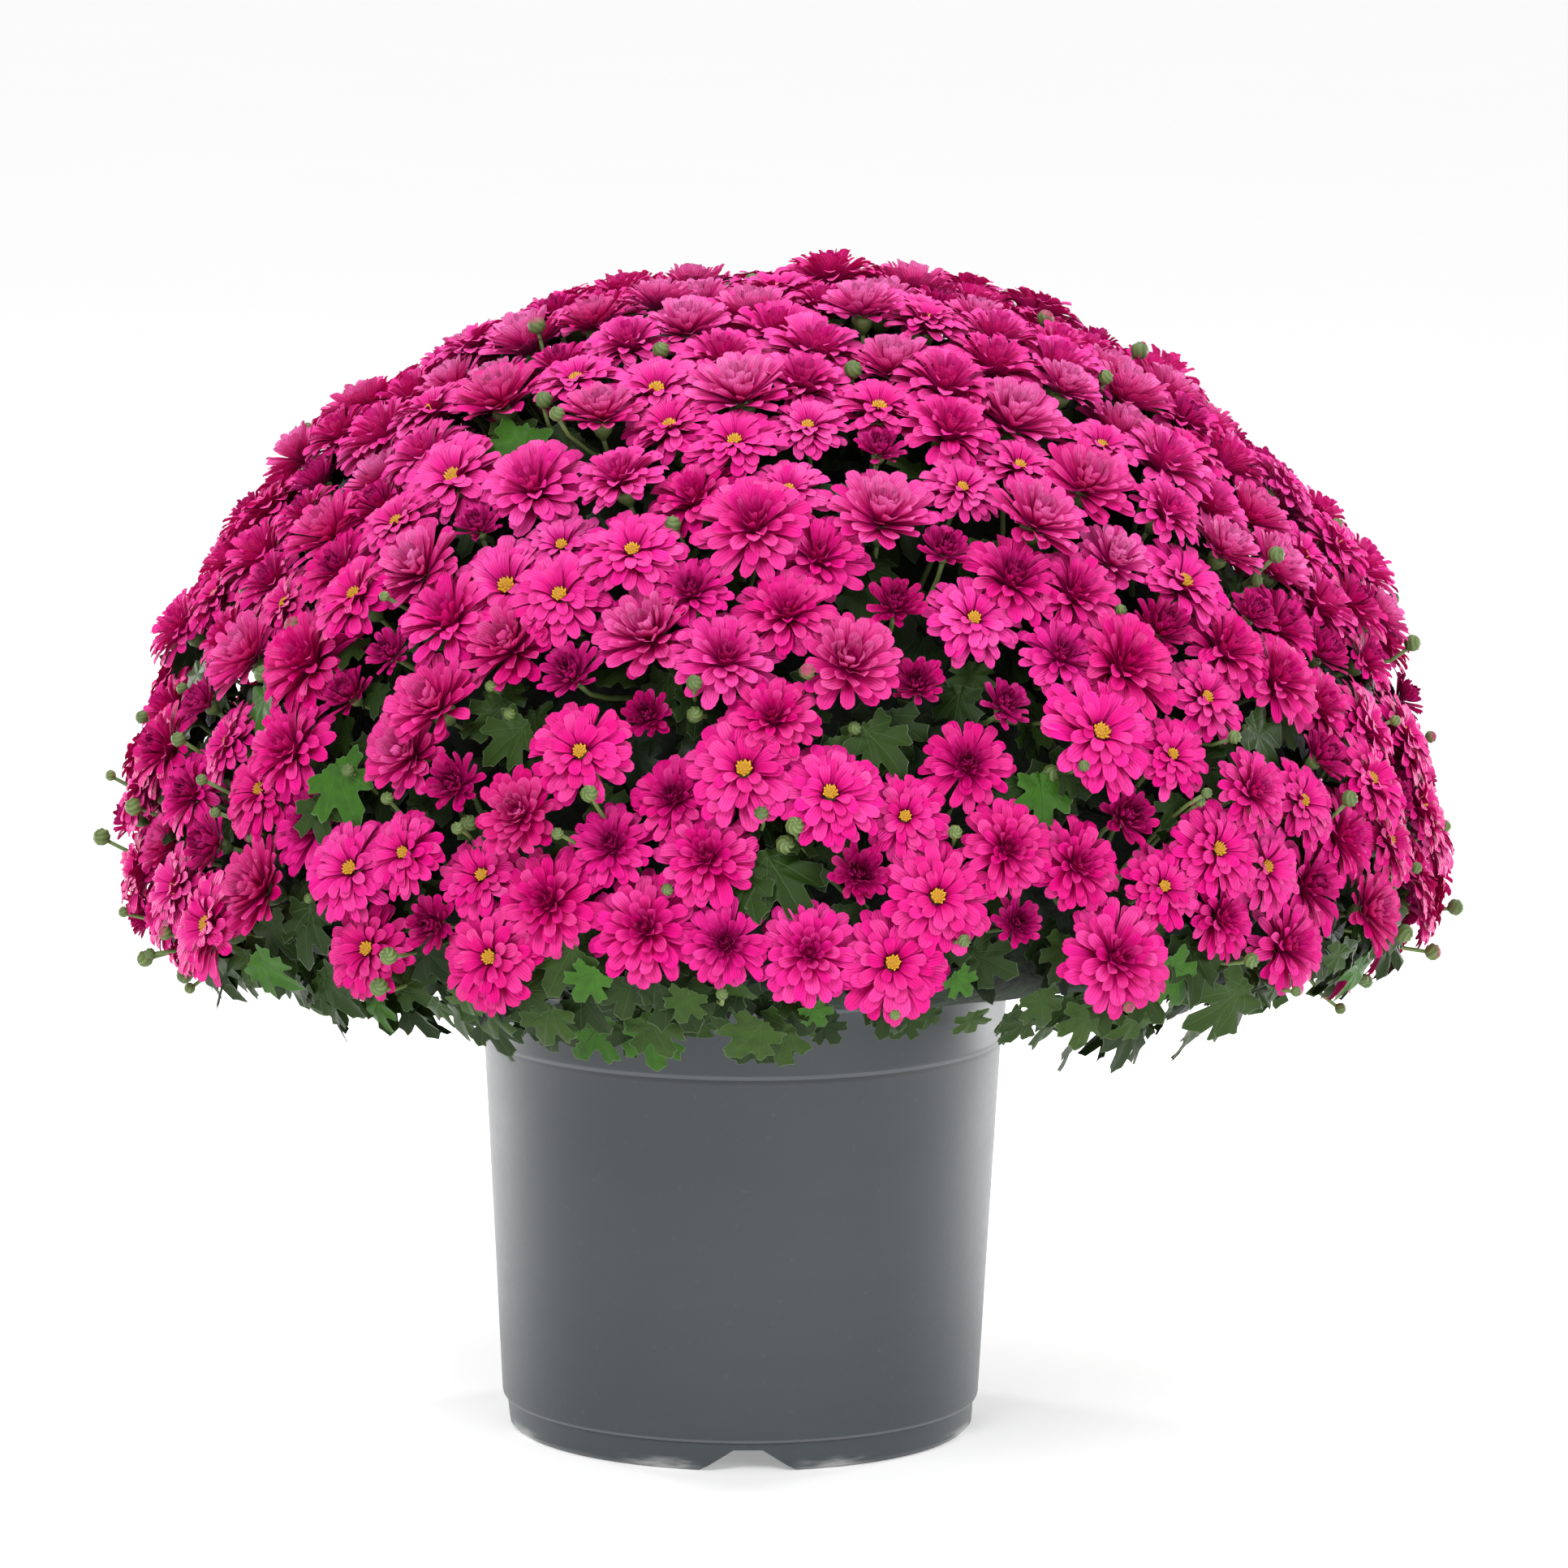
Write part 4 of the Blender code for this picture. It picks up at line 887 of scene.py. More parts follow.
def leaf_reach(angle):
    """Distance of the leaf's edge from its middle, by the angle from its tip: the smooth outline of the
    longest of five round lobes and a small round body, with shallow teeth on top."""
    total = 0.0
    for middle, length, width in LEAF_LOBES:
        for sign in (-1.0, 1.0) if middle else (1.0,):
            off = (angle - sign * middle + math.pi) % (2.0 * math.pi) - math.pi
            total = total + (length * np.exp(-(off / width) ** 6)) ** 6
    body = LEAF_BODY + LEAF_BODY_TIPWARDS * np.cos(angle)
    reach = (total + body ** 6) ** (1.0 / 6.0)
    return reach * (1.0 + LEAF_TOOTH * np.cos(LEAF_TEETH * angle))


def add_leaves(surface, centre, facing, tipwards, half, columns, rings, draw, **values):
    """Lobed blades as polar grids about their middles, with leaf_reach as the edge. A blade falls by its
    droop times the way to the tip and the square of that way, and by the square of the way aside. It rises
    by its fold times the way aside, and waves round its edge, more so further out."""
    copies = len(centre)
    angle = circle(columns)
    share = np.linspace(0.0, 1.0, rings + 1)[1:]
    if rings > 2:
        share[-2] = LEAF_BORDER
    reach = share[:, None] * leaf_reach(angle)[None, :]
    x = reach * np.cos(angle)
    y = reach * np.sin(angle)
    droop, fold, wave, phase = [draw.uniform(*limits, copies)[:, None, None] for limits in LEAF_SHAPES]
    z = fold * np.abs(y) - droop * (LEAF_DROOP_START * x + x * np.abs(x)) - LEAF_ARCH * y * y
    z = z + wave * share[None, :, None] ** 2 * np.cos(LEAF_WAVES * angle[None, None, :] + phase)
    x, y = np.broadcast_to(x, z.shape), np.broadcast_to(y, z.shape)
    sidewards = np.cross(facing, tipwards)
    ways = zip((x, y, z), (tipwards, sidewards, facing))
    offset = sum(some[..., None] * way[:, None, None, :] for some, way in ways)
    grid = centre[:, None, None, :] + half[:, None, None, None] * offset
    points = np.concatenate([grid.reshape(copies, -1, 3), centre[:, None, :]], axis=1)
    size = rings * columns + 1
    quads = repeated(grid_quads(rings, columns, True), copies, size)
    middle = repeated(fan(rings * columns, np.arange(columns)), copies, size)
    rim = np.tile(np.append(np.repeat(share, columns), 0.0), copies)
    flat_x, flat_y = [np.pad(some.reshape(copies, -1), ((0, 0), (0, 1))) for some in (x, y)]
    spread = {key: np.repeat(np.broadcast_to(value, copies), size) for key, value in values.items()}
    surface.add(points, quads, middle, rim=rim, leaf_x=flat_x, leaf_y=flat_y, **spread)


# Colours as linear red, green and blue: petals and discs
DEEP_MAGENTA = (0.64, 0.000, 0.168)
MAGENTA = (0.77, 0.008, 0.255)
# Purplish tint: a painted sheen of the light from above
PURPLE_SHEEN = (0.78, 0.022, 0.330)
PALE_PINK = (0.92, 0.26, 0.60)
CRIMSON = (0.17, 0.0, 0.030)
# Painted highlight along the petals' edges
PINK_EDGE_HIGHLIGHT = (0.80, 0.045, 0.34)
# Painted shade at the petals' roots, deep in the bloom
PETAL_ROOT_SHADE = (0.26, 0.001, 0.075)
PETAL_LINE = (0.36, 0.001, 0.11)
DARK_YELLOW = (0.42, 0.20, 0.01)
YELLOW = (0.93, 0.57, 0.01)

# Colours: leaves, stalks and buds
DARK_GREEN = (0.008, 0.020, 0.003)
GREEN = (0.034, 0.074, 0.009)
BRIGHT_GREEN = (0.040, 0.135, 0.010)
DULL_GREEN = (0.016, 0.036, 0.010)
RIB_GREEN = (0.080, 0.140, 0.050)
PALE_GREEN = (0.190, 0.250, 0.150)
SHADED_GREEN = (0.003, 0.009, 0.003)
STALK_GREEN = (0.035, 0.075, 0.020)
BUD_GREEN = (0.210, 0.290, 0.075)
SEAM_GREEN = (0.050, 0.090, 0.020)
WOOD_BROWN = (0.075, 0.055, 0.032)
BUD_PINK = (0.36, 0.01, 0.10)
# Painted shade: the near black greens of the leafy core
CORE_SHADE_BLACK = (0.002, 0.005, 0.002)
CORE_SHADE_GREEN = (0.010, 0.028, 0.010)

# Colours: pot and mix, and how far their flow marks and their wear with its painted highlight are squeezed
# in height
PLASTIC = (0.030, 0.038, 0.044)
PLASTIC_FLOW = (0.038, 0.047, 0.053)
DUST = (0.110, 0.118, 0.122)
# Wear with a painted highlight on the foot's chamfer
WORN_AND_HIGHLIGHT_PLASTIC = (0.40, 0.40, 0.39)
# Painted highlight lines along the edges
EDGE_HIGHLIGHT_PLASTIC = (0.130, 0.140, 0.146)
SHADED_PLASTIC = (0.012, 0.014, 0.016)
DARK_CRUMBS = (0.014, 0.009, 0.006)
BROWN_CRUMBS = (0.070, 0.046, 0.030)
BARK = (0.120, 0.070, 0.035)
ACROSS_THE_POT = (1.0, 1.0, 5.0)


def petal_finish():
    """Magenta, paler in some blooms, with a purplish tint that is a painted sheen of the light from above
    and grows higher up, crimson in the young middles, with painted highlights along the petals' edges,
    painted shade towards the petals' roots, and with fine darker lines along the petal."""
    made = Finish("petal", {"Specular IOR Level": 0.10})
    along, across, tone = made.attributes("along", "across", "tone")
    dark, pale, purple = made.attributes("dark", "pale", "purple")
    # Painted highlight along the petals' edges, strongest on the crimson ones
    edge_highlight = abs(across).step(0.45, 1.0)
    lines = made.math("SINE", across * 15.0 + tone * 40.0) * 0.5 + 0.5
    base = made.mix(tone, DEEP_MAGENTA, MAGENTA)
    # Purplish tint: a painted sheen of the light from above
    base = made.mix(purple * 0.7, base, PURPLE_SHEEN)
    base = made.mix(pale * along.step(0.30, 0.95) * 0.85, base, PALE_PINK)
    base = made.mix(dark * (1.15 - 0.40 * along), base, CRIMSON)
    base = made.mix(edge_highlight * along * (0.16 + 0.35 * dark), base, PINK_EDGE_HIGHLIGHT)
    # Painted shade at the petals' roots, deep in the bloom
    base = made.mix((1.0 - along.step(0.0, 0.45)) * 0.60, base, PETAL_ROOT_SHADE)
    base = made.mix(lines * (1.0 - edge_highlight) * 0.36, base, PETAL_LINE)
    return made.dress(base, 0.44 + 0.14 * lines, lines + made.noise(900.0) * 0.5, 0.00020)


def disc_finish():
    """Yellow outer florets, darker ones towards the middle, and noise that paints shade into the gaps
    between them.
    """
    made = Finish("disc")
    (ripe,) = made.attributes("ripe")
    grain = made.noise(1500.0)
    # Noise darkens it in patches: painted shade in the gaps between florets
    base = made.mix(ripe * 0.7 + grain.step(0.35, 0.65) * 0.3, DARK_YELLOW, YELLOW)
    return made.dress(base, 0.6, grain, 0.0004)


def leaf_finish():
    """Greens that differ from leaf to leaf, a midrib and four side ribs, a pale edge, and painted shade on
    leaves that lie behind the blooms.
    """
    made = Finish("leaf", {"Specular IOR Level": 0.15})
    x, y, rim, tone, deep, bright = made.attributes("leaf_x", "leaf_y", "rim", "tone", "deep", "bright")
    across = abs(y)
    ribs = 1.0 - across.step(0.008, 0.032)
    for turn in RIB_TURNS:
        off = abs((x + RIB_ROOT) * math.sin(turn) - across * math.cos(turn))
        ribs = made.math("MAXIMUM", ribs, 1.0 - off.step(0.006, 0.026))
    ribs = ribs * (1.0 - 0.6 * rim)
    blotch = made.noise(190.0, 4.0)
    base = made.mix(tone, DARK_GREEN, GREEN)
    base = made.mix(bright, base, BRIGHT_GREEN)
    base = made.mix(blotch.step(0.35, 0.75) * 0.40, base, DULL_GREEN)
    base = made.mix(ribs * 0.30, base, RIB_GREEN)
    base = made.mix(rim.step(0.965, 1.0) * 0.50, base, PALE_GREEN)
    # Painted shade on leaves that lie behind the blooms
    base = made.mix(deep, base, SHADED_GREEN)
    return made.dress(base, 0.40 + 0.2 * blotch, made.noise(700.0) * 0.5 - ribs * 0.8, 0.00035)


def stalk_finish():
    """Green stalks, calyces and buds, woody brown towards the soil, with darker seams between a bud's bracts
    and pink showing at its tip."""
    made = Finish("stalk")
    pink, wood, tone, seam = made.attributes("pink", "wood", "tone", "seam")
    grain = made.noise(500.0, 4.0)
    base = made.mix(tone * 0.7 + grain * 0.3, STALK_GREEN, BUD_GREEN)
    base = made.mix(seam * 0.85, base, SEAM_GREEN)
    base = made.mix(wood, base, WOOD_BROWN)
    base = made.mix(pink * 0.85, base, BUD_PINK)
    return made.dress(base, 0.5 + 0.2 * grain, grain, 0.0003)


def core_finish():
    """Near black green in blotches: painted shade, as leaves look in deep shade."""
    made = Finish("inner_leaves")
    grain = made.noise(90.0, 5.0)
    base = made.mix(grain.step(0.35, 0.7), CORE_SHADE_BLACK, CORE_SHADE_GREEN)
    return made.dress(base, 0.7 + 0.2 * grain, grain, 0.004)


def pot_finish():
    """Dark satin plastic: faint flow marks round it, dust, wear with a painted highlight on the foot's
    chamfer beside the notches, painted highlight lines along the edges of foot, band and rim, and a painted
    shadow just under the band."""
    made = Finish("pot_plastic")
    flow = made.noise(14.0, 3.0, ACROSS_THE_POT)
    dust = made.noise(240.0, 5.0)
    base = made.mix(flow, PLASTIC, PLASTIC_FLOW)
    base = made.mix(dust.step(0.60, 0.85) * 0.25, base, DUST)
    split = made.node("ShaderNodeSeparateXYZ", {}, {0: made.place(turn=-0.5 * math.pi - NOTCH_FIRST_TURN)})
    x, y, z = [Value(made, split.outputs[axis]) for axis in "XYZ"]
    # Wear with a painted highlight on the foot's chamfer beside the notches
    beside = made.math("MINIMUM", abs(x), abs(y))
    wear_and_highlight = beside.within(*WEAR_AND_HIGHLIGHT_BESIDE) * (1.0 - z.step(*WEAR_AND_HIGHLIGHT_BELOW))
    wear_and_highlight = wear_and_highlight * made.noise(60.0, 2.0, ACROSS_THE_POT).step(0.30, 0.70)
    base = made.mix(wear_and_highlight * 0.70, base, WORN_AND_HIGHLIGHT_PLASTIC)
    # Painted highlight lines along the edges of foot, band and rim
    for low, high in EDGE_HIGHLIGHT_BANDS:
        edge_highlight = z.within((low - EDGE_SOFT, low), (high, high + EDGE_SOFT))
        base = made.mix(edge_highlight * 0.55, base, EDGE_HIGHLIGHT_PLASTIC)
    base = made.mix(z.within(*SHADE_UNDER_BAND) * 0.6, base, SHADED_PLASTIC)
    return made.dress(base, 0.27 + 0.08 * flow + 0.10 * dust, made.noise(1200.0, 2.0), 0.00003)


def soil_finish():
    """Dark crumbs, with browner bark chips."""
    made = Finish("soil")
    (chip,) = made.attributes("chip")
    grain = made.noise(220.0, 6.0)
    base = made.mix(grain, DARK_CRUMBS, BROWN_CRUMBS)
    base = made.mix(chip * made.noise(60.0, 3.0).step(0.3, 0.6), base, BARK)
    return made.dress(base, 0.85 + 0.1 * grain, grain, 0.0012)


def make_blooms(sites, draw):
    """Petals of each spray in a piece of its own. Discs go with the stem that carries them."""
    rows, columns = len(PETAL_MIDDLE), len(PETAL_COLUMNS)
    size = rows * columns
    quads = grid_quads(rows, columns)
    along = np.repeat(PETAL_MIDDLE, columns)
    across = np.tile(PETAL_COLUMNS, rows)
    sprays = [Surface() for _ in range(STEM_COUNT * SPRAYS_A_STEM)]
    discs = [Surface() for _ in range(STEM_COUNT)]
    for number in np.flatnonzero(~sites["leafy"]):
        facts = KINDS[KIND_NAMES[sites["kind"][number]]]
        centre, axes, radius, spin, spray = [sites[key][number] for key in BLOOM_FACTS]
        grid, dark, pale = bloom_petals(facts, radius, spin, draw)
        grid = crowd(grid, sites, number)
        count = len(grid)
        bloom_tone = draw.uniform(0.0, 1.0)
        # Purplish tint, a painted sheen of the light from above, stronger higher up and different from bloom
        # to bloom; it also makes the petals paler
        high = ramp(centre[2], PURPLE_SHEEN_FROM, PURPLE_SHEEN_OVER)
        purple = np.clip(high * PURPLE_SHEEN_MOST + draw.normal(0.0, PURPLE_SHEEN_SPREAD), 0.0, 1.0)
        tone = np.clip(bloom_tone + draw.normal(0.0, TONE_SPREAD, count), 0.0, 1.0)
        pale = np.clip(pale * (0.5 + 1.2 * purple) + draw.normal(0.0, PALE_SPREAD, count), 0.0, 1.0)
        sprays[spray].add(
            centre + grid.reshape(-1, 3) @ axes, repeated(quads, count, size), purple=purple,
            along=np.tile(along, count), across=np.tile(across, count),
            tone=np.repeat(tone, size), dark=np.repeat(dark, size), pale=np.repeat(pale, size))
        if facts["disc"]:
            add_disc(discs[spray // SPRAYS_A_STEM], axes, centre, radius, spin)
        else:
            add_turned(sprays[spray], axes, centre, HEART * radius, HEART_SIDES, dark=1.0, tone=0.3)
    petals, disc = petal_finish(), disc_finish()
    for number, surface in enumerate(sprays):
        surface.build(f"spray_{number + 1:02d}_petals", petals, "petal", [f"spray_{number + 1:02d}"])
    for number, surface in enumerate(discs):
        surface.build(f"stem_{number + 1:02d}_discs", disc, "disc")


# Bud, calyx and heart: profiles out and up, in shares of the bud's or the bloom's radius
BUD = np.array([(0.28, -0.95), (0.76, -0.70), (1.0, -0.22), (1.0, 0.22), (0.80, 0.62), (0.44, 0.90),
                (0.14, 0.98)])
BUD_SIDES = 12
BUD_TOP = 1.02
BUD_FOOT = 0.8
BRACT_OUT = 0.09
BRACT_UP = 0.05
BLUSH_RANGE = (0.25, 0.5)
CALYX = np.array([(0.045, -0.74), (0.080, -0.70), (0.180, -0.57), (0.240, -0.42), (0.220, -0.34),
                  (0.120, -0.32)])
CALYX_SIDES = 8
CALYX_FOOT = 0.72
HEART = np.array([(0.060, -0.30), (0.130, -0.22), (0.150, -0.04), (0.110, 0.08), (0.040, 0.14)])
HEART_SIDES = 7

# Points along a rod and round it
STEM_STEPS = 12
STEM_SIDES = 10
BRANCH_STEPS = 8
BRANCH_SIDES = 7
STALK_STEPS = 6
STALK_SIDES = 5


def add_buds(surface, centre, facing, radius, pink, tone):
    """Closed buds: globes turned from BUD, with every second point of every row pushed out and up as bracts,
    by turns from row to row."""
    count = len(centre)
    rows = len(BUD)
    checks = np.cos(math.pi * (np.arange(rows)[:, None] + np.arange(BUD_SIDES)[None, :]))
    out = BUD[:, :1] * (1.0 + BRACT_OUT * checks)
    local = turned(out, BUD[:, 1:] + BRACT_UP * checks, BUD_SIDES, BUD[0, 1], BUD_TOP)
    axes = np.stack([*across_axes(facing), facing], axis=1)
    points = centre[:, None, :] + radius[:, None, None] * np.einsum("pi,cij->cpj", local, axes)
    size = len(local)
    faces = [repeated(some, count, size) for some in closed_faces(rows, BUD_SIDES)]
    blush = ramp(local[:, 2], *BLUSH_RANGE)
    seams = np.append((0.5 - 0.5 * checks).ravel(), [1.0, 0.0])
    surface.add(points, *faces, seam=np.tile(seams, count), pink=(pink[:, None] * blush[None, :]).ravel(),
                tone=np.repeat(tone, size))


def add_spray_stalks(surface, hub, tips, facing, thick, draw):
    """Stalks that rise from a spray's hub and end straight under a bloom or bud."""
    count = len(tips)
    radii = np.tile(np.linspace(STALK_SWELLING * thick, thick, STALK_STEPS), (count, 1))
    paths = curve(np.repeat(hub[None], count, axis=0), tips - STALK_STRAIGHT * facing, tips, STALK_STEPS)
    add_tubes(surface, paths, radii, STALK_SIDES, tone=draw.uniform(0.2, 0.6))


def bud_places(sites, gaps, draw):
    """Which sites have a bud beside them, in the widest gap, and where: only where there is room or a leaf
    under it, and never close to a bud of an earlier site."""
    share = np.where(sites["point"][:, 2] < BUDS_BELOW, BUD_SHARE_LOW, BUD_SHARE_HIGH)
    budded = draw.uniform(0.0, 1.0, SITE_COUNT) < share
    budded &= (sites["leafy"] | (gaps[2] > BUD_ROOM)) & ~sites["low"]
    aside = np.where(sites["leafy"], BUD_DISTANCE_ON_LEAF, BUD_DISTANCE)
    spots = sites["point"] + aside[:, None] * gaps[0]
    apart = np.linalg.norm(spots[:, None, :] - spots[None, :, :], axis=2)
    budded &= ~np.any(np.tril(apart < BUD_APART, -1) & budded[None, :], axis=1)
    return budded, spots


def add_stem(surface, turn, hubs):
    """A stem from the mix to its crotch, and a branch from there to each hub."""
    foot = polar(STEM_FOOT[0], turn, STEM_FOOT[1])
    crotch = polar(STEM_CROTCH[0], turn, STEM_CROTCH[1]) + np.array([AXIS_X, 0.0, 0.0])
    bend = np.array([foot[0], foot[1], STEM_BEND_HEIGHT])
    path = curve(foot[None], bend[None], crotch[None], STEM_STEPS)
    add_tubes(surface, path, np.linspace(*STEM_RADII, STEM_STEPS)[None], STEM_SIDES, wood=0.9, tone=0.2)
    start = np.repeat(crotch[None], len(hubs), axis=0)
    mid = 0.5 * (start + hubs) + np.array([0.0, 0.0, BRANCH_RISE])
    radii = np.tile(np.linspace(*BRANCH_RADII, BRANCH_STEPS), (len(hubs), 1))
    add_tubes(surface, curve(start, mid, hubs, BRANCH_STEPS), radii, BRANCH_SIDES, wood=0.4, tone=0.3)


def add_bloom_stalks(surface, sites, members, hub, draw):
    """A stalk from the hub to each bloom of a spray, and a calyx of the bloom's own size."""
    facing = sites["facing"][members]
    tips = sites["point"][members] - CALYX_FOOT * sites["radius"][members][:, None] * facing
    add_spray_stalks(surface, hub, tips, facing, STALK_RADIUS, draw)
    for number in members:
        centre, axes, radius = [sites[key][number] for key in ("point", "axes", "radius")]
        add_turned(surface, axes, centre, CALYX * radius, CALYX_SIDES, tone=0.35)


def add_bud_stalks(surface, sites, members, spots, hub, draw):
    """A stalk from the hub to each bud of a spray, and the bud."""
    count = len(members)
    facing = unit(sites["facing"][members] + draw.normal(0.0, BUD_SHAKE, (count, 3)))
    radius = draw.uniform(*BUD_RADII, count)
    centre = spots[members] + draw.uniform(0.0, BUD_LIFT, (count, 1)) * sites["facing"][members]
    pink = np.where(draw.uniform(0.0, 1.0, count) < BUD_PINK_SHARE, 1.0, 0.0)
    add_buds(surface, centre, facing, radius, pink, draw.uniform(0.35, 1.0, count))
    tips = centre - BUD_FOOT * radius[:, None] * facing
    add_spray_stalks(surface, hub, tips, facing, BUD_STALK_RADIUS, draw)


def make_stalks(sites, gaps, draw):
    """For each stem: itself, a branch to each spray's hub, and there the stalks, calyces and buds."""
    finish = stalk_finish()
    seeds = spray_seeds()
    hubs = seeds + HUB_DEPTH * unit(np.array([AXIS_X, 0.0, HUB_AIM_HEIGHT]) - seeds)
    budded, spots = bud_places(sites, gaps, draw)
    for stem in range(STEM_COUNT):
        surface = Surface()
        own = range(SPRAYS_A_STEM * stem, SPRAYS_A_STEM * (stem + 1))
        add_stem(surface, stem_turn(stem), hubs[own])
        for spray in own:
            here = sites["spray"] == spray
            add_bloom_stalks(surface, sites, np.flatnonzero(~sites["leafy"] & here), hubs[spray], draw)
            members = np.flatnonzero(budded & here)
            if len(members):
                add_bud_stalks(surface, sites, members, spots, hubs[spray], draw)
        surface.build(f"stem_{stem + 1:02d}_stalks", finish, "stem")


def sector_of(turns):
    """Which stem's sector each turn lies in."""
    return ((turns % (2.0 * math.pi)) / (2.0 * math.pi / STEM_COUNT)).astype(int) % STEM_COUNT


def downhill(sites, members, lean):
    """Ways down the dome from sites, each turned aside by its lean."""
    axes = sites["axes"][members]
    return np.cos(lean)[:, None] * axes[:, 0] + np.sin(lean)[:, None] * axes[:, 1]


def add_leaf_clusters(surface, sites, members, draw):
    """Each leaf of the solids, with smaller ones that fan out beside and behind it. Hanging leaves are
    stretched or shrunk about their root ends. Over the pot few of them have smaller ones, and in front one
    stretch of the rim shows under short ones."""
    point, facing, low = [sites[key][members] for key in ("point", "facing", "low")]
    tip = downhill(sites, members, LEAF_LEAN_MOST * (sites["spin"][members] / math.pi - 1.0))
    count = len(members)
    share = np.where(low, draw.uniform(*HANGING_SIZES, count), 1.0)
    shown = (point[:, 1] < 0.0) & (point[:, 0] > RIM_SHOWN[0]) & (point[:, 0] < RIM_SHOWN[1])
    share = np.where(shown & low, RIM_SHOWN_SIZE, share)
    whole = LEAF_MAIN_HALF * sites["size"][members]
    half = whole * share
    point = point - (whole - half)[:, None] * tip
    tone = draw.uniform(0.10, 1.0, count)
    bright = np.where(draw.uniform(0.0, 1.0, count) < BRIGHT_SHARE, BRIGHT_MOST, 0.0)
    add_leaves(surface, point, facing, tip, half, *LEAF_MAIN_GRID, draw, tone=tone, bright=bright)
    over_pot = low & (np.abs(point[:, 0] - AXIS_X) < SPARSE_REACH)
    kept = ~over_pot | (~shown & (draw.uniform(0.0, 1.0, count) < SPARSE_SHARE))
    members, point, facing, tip = members[kept], point[kept], facing[kept], tip[kept]
    count = len(members)
    sidewards = np.cross(facing, tip)
    for side, back in COMPANIONS:
        aside = side * draw.uniform(*COMPANION_ASIDE, (count, 1))
        up = draw.uniform(*COMPANION_UP, (count, 1))
        centre = point + aside * sidewards - up * tip - back * facing
        way = downhill(sites, members, draw.uniform(-COMPANION_LEAN, COMPANION_LEAN, count))
        faced = unit(facing + draw.normal(0.0, COMPANION_SHAKE, (count, 3)))
        half = LEAF_MAIN_HALF * draw.uniform(*COMPANION_SIZES, count)
        tone = draw.uniform(0.0, 1.0, count)
        # Painted shade, more the further behind a smaller leaf lies
        add_leaves(surface, centre, faced, square_to(faced, way), half, *COMPANION_GRID, draw, tone=tone,
                   deep=COMPANION_SHADE * back)


def add_gap_leaves(surface, sites, members, ways, depth, deep, halves, columns, rings, draw):
    """Smaller leaves beside blooms, in the gaps that lie in those ways, at a depth behind the blooms. They
    face out and hang mostly downhill."""
    count = len(members)
    facing = sites["facing"][members]
    faced = unit(facing + draw.normal(0.0, GAP_LEAF_SHAKE, (count, 3)))
    tip = unit(sites["axes"][members, 0] + draw.normal(0.0, GAP_LEAF_TIP_SHAKE, (count, 3)))
    tip = square_to(faced, tip)
    inwards = depth + draw.uniform(0.0, GAP_LEAF_DEEPER, (count, 1))
    centre = sites["point"][members] + GAP_LEAF_ASIDE * ways[members] - inwards * facing
    kept = centre[:, 2] > GAP_LEAF_LOWEST
    count = np.count_nonzero(kept)
    half = draw.uniform(*halves, count)
    tone = draw.uniform(0.0, 0.8, count)
    # Painted shade on them, as they lie behind the blooms
    add_leaves(surface, centre[kept], faced[kept], tip[kept], half, columns, rings, draw, tone=tone,
               deep=deep)


def make_leaves(sites, gaps, draw):
    """For each stem: the leaves that its solid has, then smaller ones in the gaps and behind the blooms."""
    finish = leaf_finish()
    stem_of = sector_of(sites["turn"])
    for stem in range(STEM_COUNT):
        surface = Surface()
        add_leaf_clusters(surface, sites, np.flatnonzero(sites["leafy"] & (stem_of == stem)), draw)
        blooms = np.flatnonzero(~sites["leafy"] & (stem_of == stem))
        low = blooms[sites["point"][blooms, 2] < LEAFY_BELOW]
        for gap, only_low, *shape in GAP_LEAVES:
            add_gap_leaves(surface, sites, low if only_low else blooms, gaps[gap], *shape, draw)
        surface.build(f"stem_{stem + 1:02d}_leaves", finish, "leaf", [f"stem_{stem + 1:02d}"])


def make_core():
    """The leafy mass inside, dark with painted shade: the dome's own shape at a depth, with waves over it
    and closed below.
    """
    rows, sides = CORE_GRID
    distance, height = dome(np.linspace(*CORE_TILTS, rows - len(CORE_UNDERSIDE)))
    share = 1.0 - CORE_DEPTH / DOME_RADIUS
    height = np.maximum(CORE_LOWEST, DOME_WAIST + (height - DOME_WAIST) * share)
    distance = np.concatenate([CORE_UNDERSIDE[:, 0], distance * share])[:, None]
    height = np.concatenate([CORE_UNDERSIDE[:, 1], height])[:, None]
    rough = 1.0
    for depth, count, up in CORE_WAVES:
        rough = rough + depth * np.cos(count * circle(sides) + up * height)
    points = turned(distance * rough, height, sides, height[0, 0], height[-1, 0] + CORE_CAP)
    surface = Surface()
    surface.add(points + np.array([AXIS_X, 0.0, 0.0]), *closed_faces(rows, sides))
    surface.build("leafy_core", core_finish(), "leaf")


